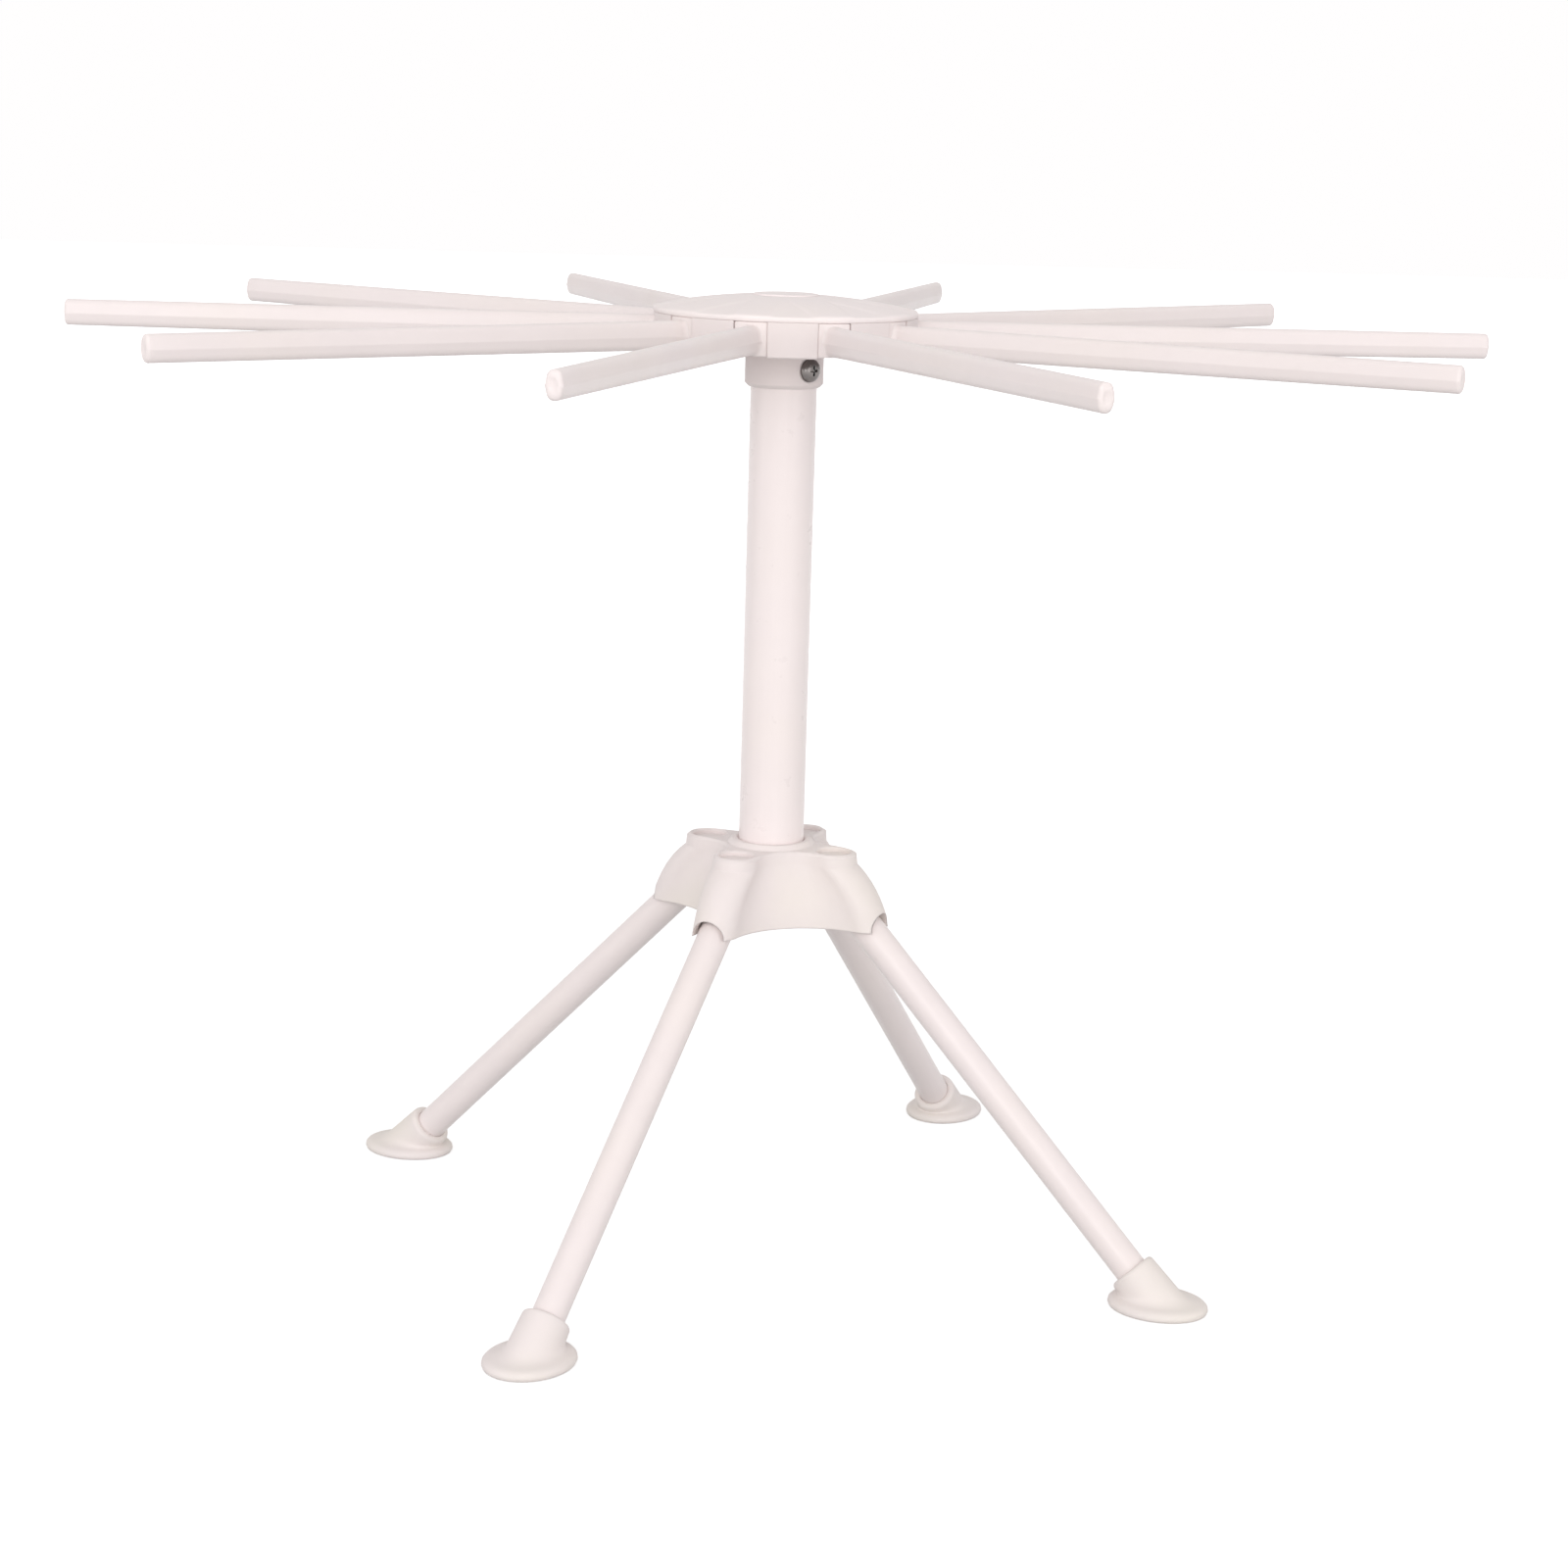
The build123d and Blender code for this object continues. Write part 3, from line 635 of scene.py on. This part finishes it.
def makeRod(shape, length, faceReach):
    loops = []

    def addStation(x, widen=0.0, scale=1.0):
        share = x / length
        width = shape["rootWidth"] + (shape["tipWidth"] - shape["rootWidth"]) * share + widen
        height = shape["rootHeight"] + (shape["tipHeight"] - shape["rootHeight"]) * share + shape["flareLift"] * widen
        loops.append(rodLoop(shape, x, width, height, -shape["rootDrop"] * (1 - share), scale))

    addStation(faceReach - shape["overlap"], shape["flareWidth"])
    for step in range(shape["flareSteps"] + 1):
        share = step / shape["flareSteps"]
        x = faceReach - shape["faceInset"] + shape["flareLength"] * share
        addStation(x, shape["flareWidth"] * (1 - share) ** 3)
    bodySteps, tipSteps = shape["bodySteps"], shape["tipSteps"]
    bodyStart = faceReach + shape["flareLength"]
    bodyEnd = length - shape["tipRound"]
    for step in range(1, bodySteps + 1):
        addStation(bodyStart + (bodyEnd - bodyStart) * step / bodySteps)
    for step in range(1, tipSteps + 1):
        turn = math.pi / 2 * step / tipSteps
        shrink = shape["tipRound"] / (shape["tipWidth"] / 2) * (1 - math.cos(turn))
        addStation(bodyEnd + shape["tipRound"] * math.sin(turn), scale=1 - shrink)
    dishRim, dishFloor = shape["tipDish"]
    addStation(length, scale=dishRim)
    addStation(length - shape["sinkDepth"], scale=dishFloor)
    return loopMesh("rod", loops)


def makeKnuckle(shape, pivotReach):
    top, bottom, half = shape["knuckleTop"], shape["knuckleBottom"], shape["knuckleWidth"] / 2
    softness = shape["knuckleRound"]
    loops = []
    ends, bands = shape["knuckleEnds"], shape["knuckleBands"]
    backSteps, cornerSteps = shape["backSteps"], shape["cornerSteps"]
    stations = list(ends)
    stations += [(share / bands, 0.0) for share in range(1 - bands, bands)]
    stations += [(-place, inset) for place, inset in reversed(ends)]
    for place, inset in stations:
        y = place * half
        front = math.sqrt(shape["hubRadius"] ** 2 - y ** 2) - pivotReach
        gap = softness * inset
        loop = []
        for step in range(backSteps + 1):  # round back, from the top down to the underside
            angle = math.pi / 2 + math.pi * step / backSteps
            lower = bottom if math.sin(angle) < 0 else top
            loop.append((math.cos(angle) * (top - gap), y, math.sin(angle) * (lower - gap)))
        corners = ((front, -bottom, 1), (front, top, -1))
        for cornerX, cornerZ, lean in corners:
            for step in range(cornerSteps + 1):
                angle = math.pi / 2 * step / cornerSteps
                inX = softness * (1 - math.sin(angle)) if lean > 0 else softness * (1 - math.cos(angle))
                inZ = softness * (1 - math.cos(angle)) if lean > 0 else softness * (1 - math.sin(angle))
                x = cornerX - gap - inX
                loop.append((x, y, cornerZ + lean * (gap + inZ)))
        loops.append(loop)
    return loopMesh("knuckle", loops)


def makePins(shape):
    half = shape["knuckleWidth"] / 2
    pins = []
    for side in (1, -1):
        shoulder = half + shape["pinShoulder"] * shape["pinLength"]
        ends = (half - shape["pinOverlap"], shoulder, half + shape["pinLength"])
        radii = (shape["pinRadius"], shape["pinRadius"], shape["pinEnd"] * shape["pinRadius"])
        loops = [circleLoop(radius, side * end, shape["pinSteps"]) for radius, end in zip(radii, ends)]
        pins.append(loopMesh("pin", loops))
    return pins


pivotReach = joints["arm_01_hinge"]["pos_m"][0]
armLength = armShape["reach"] - pivotReach
armMesh = joinMeshes("armMesh", [
    makeRod(armShape, armLength, armShape["hubRadius"] - pivotReach),
    makeKnuckle(armShape, pivotReach),
    *makePins(armShape),
])
armNames = sorted(name for name in nodes if name.startswith("arm_"))
for name in armNames:
    placePiece(name.replace("arm_", "armRod_"), armMesh, jointPlace(f"{name}_hinge"), armMaterial, name, name)
print("arms made:", len(armNames))


# Cover: dome of revolution with soft bands over the arms, a round rim, and keepers over the pins
coverShape = {
    "radius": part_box("hub_cover")[1][0],
    "seamRise": 0.0046,  # above the arm hinges
    "edge": 0.0015,
    "rise": 0.0041,
    "rimRound": 0.0007,
    "bandRise": 0.00025,
    "bandWidth": 0.0118,
    "bandSoftness": 0.0009,
    "bandCount": 10,
    "capRadius": 0.00978,
    "capPocket": 0.0015,
    "screwHead": 0.0036,
    "screwSink": 0.0011,
    "screwShank": 0.0018,
    "bossRadius": 0.0060,
    "ringRadius": 0.0268,
    "recess": 0.0014,
    "keeperReach": 0.0340,
    "keeperMiddle": 0.0063,
    "keeperHalfLength": 0.0016,
    "keeperHalfWidth": 0.0008,
    "keeperDepth": 0.0024,
    "keeperOverlap": 0.0003,
    "keeperRound": 0.00015,
    "seamRound": 0.0002,
    "steps": 360,
    "domeRings": 26,
    "rimSteps": 5,
    "sharpAngle": 50,  # degrees
}


# Height of the dome over its rim at a distance from the middle
def domeRise(shape, distance):
    ball = (shape["radius"] ** 2 + shape["rise"] ** 2) / (2 * shape["rise"])
    return math.sqrt(ball ** 2 - distance ** 2) - (ball - shape["rise"])


# Share of a band's rise at a place on the dome, 1 on a band and 0 between two
def bandShare(shape, distance, angle):
    pitch = 2 * math.pi / shape["bandCount"]
    off = (angle + pitch / 2) % pitch - pitch / 2
    inside = (shape["bandWidth"] / 2 - abs(distance * math.sin(off))) / shape["bandSoftness"] + 0.5
    inside = min(max(inside, 0.0), 1.0)
    return inside * inside * (3 - 2 * inside)


def makeCover(shape):
    radius, edge = shape["radius"], shape["edge"]
    domeTop = edge + shape["rise"]
    rim = shape["rimRound"]
    profile = []  # distance from the middle, height over the seam, share of the band's rise
    for step in range(shape["domeRings"] + 1):
        distance = shape["capRadius"] + (radius - rim - shape["capRadius"]) * step / shape["domeRings"]
        profile.append((distance, edge + domeRise(shape, distance), 1.0))
    rimTop = profile[-1][1]
    rimSteps, seam = shape["rimSteps"], shape["seamRound"]
    for step in range(1, rimSteps + 1):
        turn = math.pi / 2 * step / rimSteps
        distance, height = radius - rim + rim * math.sin(turn), rimTop - rim * (1 - math.cos(turn))
        profile.append((distance, height, 1 - step / rimSteps))
    pocket = domeTop - shape["capPocket"]
    profile += [(radius, seam, 0), (radius - seam, 0, 0)]
    profile += [(shape["ringRadius"], 0, 0), (shape["ringRadius"], shape["recess"], 0)]
    profile += [(shape["bossRadius"], shape["recess"], 0), (shape["bossRadius"], 0, 0)]
    profile += [(shape["screwShank"], 0, 0), (shape["screwShank"], pocket - shape["screwSink"], 0)]
    profile += [(shape["screwHead"], pocket - shape["screwSink"], 0), (shape["screwHead"], pocket, 0)]
    profile += [(shape["capRadius"], pocket, 0)]
    points, faces = [], []
    steps, rings = shape["steps"], len(profile)
    for step in range(steps):
        angle = 2 * math.pi * step / steps
        for distance, height, share in profile:
            lift = shape["bandRise"] * share * bandShare(shape, distance, angle)
            points.append((distance * math.cos(angle), distance * math.sin(angle), height + lift))
    for step in range(steps):
        for ring in range(rings):
            here, across = step * rings, (step + 1) % steps * rings
            following = (ring + 1) % rings
            faces.append((here + ring, here + following, across + following, across + ring))
    dome = bpy.data.meshes.new("dome")
    dome.from_pydata(points, [], faces)
    parts = [dome]
    half, width, depth = shape["keeperHalfLength"], shape["keeperHalfWidth"], shape["keeperDepth"]
    soft = shape["keeperRound"]
    for band in range(shape["bandCount"]):
        turn = Matrix.Rotation(2 * math.pi * band / shape["bandCount"], 4, "Z")
        for side in (1, -1):
            middle = Vector((shape["keeperReach"], side * shape["keeperMiddle"], 0))
            loops = []
            for height, inset in ((shape["keeperOverlap"], 0.0), (soft - depth, 0.0), (-depth, soft)):
                corners = ((half, width), (-half, width), (-half, -width), (half, -width))
                loops.append([
                    turn @ (middle + Vector((x - math.copysign(inset, x), y - math.copysign(inset, y), height)))
                    for x, y in corners
                ])
            parts.append(loopMesh("keeper", loops))
    cover = joinMeshes("coverMesh", parts)
    cover.set_sharp_from_angle(angle=math.radians(shape["sharpAngle"]))
    return cover


coverPlace = Matrix.Translation((0, 0, joints["arm_01_hinge"]["pos_m"][2] + coverShape["seamRise"]))
placePiece("coverDome", makeCover(coverShape), coverPlace, coverMaterial, "stand", "hub_cover")


# Cap: round disc with a soft edge and a hollow over the screw's head
capShape = {
    "radius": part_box("cover_cap")[1][0],
    "top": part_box("cover_cap")[1][2],
    "bottom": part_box("cover_cap")[0][2],
    "edgeRound": 0.0003,
    "hollowRadius": 0.0040,
    "hollowHeight": 0.0015,
    "bottomRound": 0.0002,
    "topMargin": 0.001,
    "edgeSteps": 6,
    "steps": 128,
    "sharpAngle": 50,  # degrees
}


def makeCap(shape):
    radius, soft = shape["radius"], shape["edgeRound"]
    top, bottom = shape["top"], shape["bottom"]
    rings = [(shape["hollowRadius"], bottom + shape["hollowHeight"]), (shape["hollowRadius"], bottom)]
    rings += [(radius - shape["bottomRound"], bottom), (radius, bottom + shape["bottomRound"])]
    for step in range(shape["edgeSteps"] + 1):
        turn = math.pi / 2 * step / shape["edgeSteps"]
        rings.append((radius - soft * (1 - math.cos(turn)), top - soft * (1 - math.sin(turn))))
    rings.append((radius - shape["topMargin"], top))
    loops = [circleLoop(distance, height, shape["steps"], "Z") for distance, height in rings]
    cap = joinMeshes("capMesh", [loopMesh("cap", loops)])
    cap.set_sharp_from_angle(angle=math.radians(shape["sharpAngle"]))
    return cap


placePiece("coverCapDisc", makeCap(capShape), Matrix.Identity(4), coverMaterial, "stand", "cover_cap")
print("cover and cap made")


# Foot: soft oval sole that flows up into a slanted socket
footShape = {
    "lean": 45.0,  # degrees, the leg against the upright
    "soleLength": 0.0304,
    "soleWidth": 0.0256,
    "soleInset": 0.0012,
    "edgeProfile": (  # share of the half length taken off, height
        (0.0011, 0.0), (0.00035, 0.00025), (0.0, 0.0010), (0.00015, 0.0018), (0.0007, 0.0024), (0.0016, 0.00285),
    ),
    "brimHeight": 0.0031,
    "rimDistance": 0.0144,
    "rimRadius": 0.0072,
    "rootRadius": 0.0082,
    "rimRound": 0.0013,
    "boreRadius": 0.00505,
    "boreEnd": 0.0080,
    "boreMouth": ((0.0, 0.00015), (0.0001, 0.00002), (0.0005, 0.0)),  # depth in the rim, added radius
    "soleMargin": 0.004,
    "brimInset": 0.0022,
    "brimDrop": 0.0001,
    "blendReach": 0.0034,
    "blendShare": 0.55,
    "rootRounds": 12,
    "blendSteps": 9,
    "sideSteps": 5,
    "rimSteps": 5,
    "steps": 64,
}


def makeFoot(shape):
    lean = math.radians(shape["lean"])
    up = Vector((-math.sin(lean), 0, math.cos(lean)))
    out = Vector((math.cos(lean), 0, math.sin(lean)))
    angles = [2 * math.pi * step / shape["steps"] for step in range(shape["steps"])]

    def coneRadius(distance):
        run = shape["rimDistance"] + shape["rootRadius"]
        return shape["rootRadius"] + (shape["rimRadius"] - shape["rootRadius"]) * (distance + shape["rootRadius"]) / run

    def conePoint(distance, angle, radius=None):
        radius = coneRadius(distance) if radius is None else radius
        return up * distance + (out * math.cos(angle) + Vector((0, 1, 0)) * math.sin(angle)) * radius

    def oval(inset, height, angle):
        return Vector((
            -shape["soleInset"] + (shape["soleLength"] / 2 - inset) * math.cos(angle),
            (shape["soleWidth"] / 2 - inset) * math.sin(angle),
            height,
        ))

    # how far up the leg the cone's side at this angle leaves the brim
    def rootDistance(angle):
        distance = 0.0
        for _ in range(shape["rootRounds"]):
            distance = (shape["brimHeight"] - out.z * math.cos(angle) * coneRadius(distance)) / up.z
        return distance

    # where the flow from the sole ends on the cone, measured up the leg
    def blendEnd(root):
        return root + min(shape["blendReach"], shape["blendShare"] * (rimStart - root))

    rimStart = shape["rimDistance"] - shape["rimRound"]
    loops = [[oval(shape["soleMargin"], 0.0, angle) for angle in angles]]
    for inset, height in shape["edgeProfile"]:
        loops.append([oval(inset, height, angle) for angle in angles])
    for step in range(1, shape["blendSteps"] + 1):
        share = step / shape["blendSteps"]
        loop = []
        for angle in angles:
            root = rootDistance(angle)
            first = oval(shape["brimInset"], shape["brimHeight"] - shape["brimDrop"], angle)
            corner = conePoint(root, angle)
            last = conePoint(blendEnd(root), angle)
            loop.append(first.lerp(corner, share).lerp(corner.lerp(last, share), share))
        loops.append(loop)
    for step in range(1, shape["sideSteps"] + 1):
        loop = []
        for angle in angles:
            start = blendEnd(rootDistance(angle))
            loop.append(conePoint(start + (rimStart - start) * step / shape["sideSteps"], angle))
        loops.append(loop)
    for step in range(1, shape["rimSteps"] + 1):
        turn = math.pi / 2 * step / shape["rimSteps"]
        radius = coneRadius(rimStart) - shape["rimRound"] * (1 - math.cos(turn))
        distance = rimStart + shape["rimRound"] * math.sin(turn)
        loops.append([conePoint(distance, angle, radius) for angle in angles])
    bore = [(shape["rimDistance"] - depth, shape["boreRadius"] + more) for depth, more in shape["boreMouth"]]
    bore.append((shape["boreEnd"], shape["boreRadius"]))
    for distance, radius in bore:
        loops.append([conePoint(distance, angle, radius) for angle in angles])
    return joinMeshes("footMesh", [loopMesh("foot", loops)])


footMesh = makeFoot(footShape)
legNames = sorted(name for name in nodes if name.startswith("leg_"))
for name in legNames:
    hinge = joints[f"{name}_hinge"]["pos_m"]
    standReach = math.hypot(hinge[0], hinge[1]) + hinge[2] * math.tan(math.radians(footShape["lean"]))
    ground = jointPlace(f"{name}_hinge", 0.0)
    outward = ground.to_3x3() @ Vector((1, 0, 0))
    ground.translation = outward * standReach
    footName = name.replace("leg_", "foot_")
    placePiece(name.replace("leg_", "footShoe_"), footMesh, ground, footMaterial, name, footName)
print("feet made:", len(legNames))


# Screws: domed pan head with a cross recess, rolled shank with a point
screwShape = {
    "headProfile": (  # radius, height
        (0.0034, 0.0), (0.0035, 0.0003), (0.00345, 0.0009), (0.0031, 0.0015), (0.0024, 0.0020), (0.0014, 0.00224),
        (0.0005, 0.0023),
    ),
    "shankRadius": 0.00175,
    "threadDepth": 0.0003,
    "threadPitch": 0.0008,
    "point": 0.0014,
    "crossLength": 0.0040,
    "crossWidth": 0.0009,
    "crossDepth": 0.0013,
    "crossTaper": (0.55, 0.8),  # length and width at the bottom of the recess
    "cutterRise": 0.001,
    "tipRadius": 0.0002,
    "steps": 48,
    "sharpAngle": 35,  # degrees
}


def makeScrew(shape, length):
    rings = [(radius, height) for radius, height in reversed(shape["headProfile"])]
    rings.append((shape["shankRadius"], 0.0))
    turns = int((length - shape["point"]) / shape["threadPitch"] * 2)
    for turn in range(1, turns + 1):
        inset = shape["threadDepth"] if turn % 2 else 0.0
        rings.append((shape["shankRadius"] - inset, -turn * shape["threadPitch"] / 2))
    rings.append((shape["tipRadius"], -length))
    loops = [circleLoop(radius, height, shape["steps"], "Z") for radius, height in rings]
    head = joinMeshes("screw", [loopMesh("turned", loops)])
    holder = bpy.data.objects.new("screwHolder", head)
    scene.collection.objects.link(holder)
    build = bmesh.new()
    top = shape["headProfile"][-1][1]
    for turn in (0, math.pi / 2):
        bar = bmesh.ops.create_cube(build, size=1.0)["verts"]
        for vertex in bar:
            above = vertex.co.z > 0
            lengthShare, widthShare = (1.0, 1.0) if above else shape["crossTaper"]
            x = vertex.co.x * shape["crossLength"] * lengthShare
            y = vertex.co.y * shape["crossWidth"] * widthShare
            vertex.co = Vector((x, y, top + (shape["cutterRise"] if above else -shape["crossDepth"])))
        bmesh.ops.rotate(build, verts=bar, matrix=Matrix.Rotation(turn, 3, "Z"))
    cutterMesh = bpy.data.meshes.new("crossCutter")
    build.to_mesh(cutterMesh)
    build.free()
    cutter = bpy.data.objects.new("crossCutter", cutterMesh)
    scene.collection.objects.link(cutter)
    cut = holder.modifiers.new("cross", "BOOLEAN")
    cut.object = cutter
    cut.operation = "DIFFERENCE"
    cut.solver = "EXACT"
    cut.use_self = True
    graph = bpy.context.evaluated_depsgraph_get()
    finished = bpy.data.meshes.new_from_object(holder.evaluated_get(graph))
    bpy.data.objects.remove(holder)
    bpy.data.objects.remove(cutter)
    finished.set_sharp_from_angle(angle=math.radians(shape["sharpAngle"]))
    return finished


# Puts a screw where its CAD node is, with its head towards the given direction
def placeScrew(name, node, along):
    reaches = [along.dot(vertex.co) for vertex in nodes[node].data.vertices]
    headHeight = screwShape["headProfile"][-1][1]
    seat = max(reaches) - headHeight
    lowest, highest = (Vector(corner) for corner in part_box(node))
    middle = (lowest + highest) / 2
    origin = middle + along * (seat - along.dot(middle))
    turn = along.to_track_quat("Z", "Y").to_matrix().to_4x4()
    mesh = makeScrew(screwShape, seat - min(reaches))
    return placePiece(name, mesh, Matrix.Translation(origin) @ turn, steelMaterial, "stand", node)


collarLow, collarHigh = (Vector(corner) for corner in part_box("collar_screw"))
collarOutward = collarLow + collarHigh
collarOutward.z = 0
placeScrew("collarScrewSteel", "collar_screw", collarOutward.normalized())
placeScrew("coverScrewSteel", "cover_screw", Vector((0, 0, 1)))
print("screws made")


# 1 for rays that show a surface to the camera, straight, mirrored or through something
def seenMask(tree):
    path = addNode(tree, "ShaderNodeLightPath")
    straight = addNode(tree, "ShaderNodeMath", operation="MAXIMUM")
    tree.links.new(path.outputs["Is Camera Ray"], straight.inputs[0])
    tree.links.new(path.outputs["Is Glossy Ray"], straight.inputs[1])
    through = addNode(tree, "ShaderNodeMath", operation="MAXIMUM")
    tree.links.new(straight.outputs[0], through.inputs[0])
    tree.links.new(path.outputs["Is Transmission Ray"], through.inputs[1])
    return through.outputs[0]


# Floor and backdrop: white for the camera, with the object's soft shadow
floorSettings = {
    "size": 12.0,
    "colour": (0.56, 0.56, 0.56, 1),
    "nearGlow": 0.64,
    "farGlow": 1.0,
    "nearReach": 0.25,
    "farReach": 1.0,
}


def makeFloor(settings):
    bpy.ops.mesh.primitive_plane_add(size=settings["size"], location=(0, 0, 0))
    floor = bpy.context.object
    floor.name = "floor"
    material = bpy.data.materials.new("floorWhite")
    material.use_nodes = True
    tree = material.node_tree
    link = tree.links.new
    tree.nodes.remove(tree.nodes["Principled BSDF"])
    diffuse = addNode(tree, "ShaderNodeBsdfDiffuse", inputs={"Color": settings["colour"]})
    glow = addNode(tree, "ShaderNodeEmission", inputs={"Color": (1, 1, 1, 1)})
    seen = seenMask(tree)
    place = addNode(tree, "ShaderNodeTexCoord")
    reach = addNode(tree, "ShaderNodeVectorMath", operation="LENGTH")
    link(place.outputs["Object"], reach.inputs[0])
    whiter = addNode(tree, "ShaderNodeMapRange", interpolation_type="SMOOTHSTEP", inputs={
        "From Min": settings["nearReach"], "From Max": settings["farReach"],
        "To Min": settings["nearGlow"], "To Max": settings["farGlow"],
    })
    link(reach.outputs["Value"], whiter.inputs["Value"])
    strength = addNode(tree, "ShaderNodeMath", operation="MULTIPLY")
    link(seen, strength.inputs[0])
    link(whiter.outputs["Result"], strength.inputs[1])
    link(strength.outputs[0], glow.inputs["Strength"])
    both = addNode(tree, "ShaderNodeAddShader")
    link(diffuse.outputs[0], both.inputs[0])
    link(glow.outputs[0], both.inputs[1])
    link(both.outputs[0], tree.nodes["Material Output"].inputs["Surface"])
    floor.data.materials.append(material)
    return floor


floor = makeFloor(floorSettings)


# World: white to the camera, and a soft fill on the object that is stronger from the front
worldSettings = {
    "frontFill": 0.76,
    "backFill": 0.40,
    "frontDirection": (0.0, -0.6, 0.8),
    "fillColour": (1.0, 0.99, 0.99, 1),
}


def makeWorld(settings):
    world = bpy.data.worlds.new("world")
    scene.world = world
    world.use_nodes = True
    tree = world.node_tree
    link = tree.links.new
    background = tree.nodes["Background"]
    background.inputs["Color"].default_value = settings["fillColour"]
    seen = seenMask(tree)
    place = addNode(tree, "ShaderNodeTexCoord")
    facing = addNode(tree, "ShaderNodeVectorMath", operation="DOT_PRODUCT", inputs={1: settings["frontDirection"]})
    link(place.outputs["Generated"], facing.inputs[0])
    fill = addNode(tree, "ShaderNodeMapRange", interpolation_type="SMOOTHSTEP", inputs={
        "From Min": -1.0, "From Max": 1.0, "To Min": settings["backFill"], "To Max": settings["frontFill"],
    })
    link(facing.outputs["Value"], fill.inputs["Value"])
    strength = addNode(tree, "ShaderNodeMapRange", inputs={"To Max": 1.0})
    link(seen, strength.inputs["Value"])
    link(fill.outputs["Result"], strength.inputs["To Min"])
    link(strength.outputs["Result"], background.inputs["Strength"])


makeWorld(worldSettings)


# Lamps: a broad key beside the camera, a low one under it, and weak ones from both sides
lampSettings = {
    "key": {"location": (-0.7, -2.0, 1.15), "size": 1.4, "power": 12.0, "colour": (1.0, 0.995, 0.99)},
    "low": {"location": (0.0, -2.2, 0.35), "size": 1.4, "power": 9.0, "colour": (1.0, 0.995, 0.99)},
    "right": {"location": (1.5, -1.5, 0.5), "size": 1.2, "power": 8.0, "colour": (1.0, 0.99, 0.99)},
    "left": {"location": (-1.8, -0.7, 0.45), "size": 1.2, "power": 5.0, "colour": (1.0, 0.99, 0.99)},
}
lampTarget = Vector((0, 0, 0.15))
for name, given in lampSettings.items():
    lampData = bpy.data.lights.new(name, "AREA")
    lampData.shape = "SQUARE"
    lampData.size = given["size"]
    lampData.energy = given["power"]
    lampData.color = given["colour"]
    lamp = bpy.data.objects.new(name, lampData)
    lamp.location = given["location"]
    lamp.rotation_euler = (lampTarget - lamp.location).to_track_quat("-Z", "Y").to_euler()
    scene.collection.objects.link(lamp)
print("lights set")
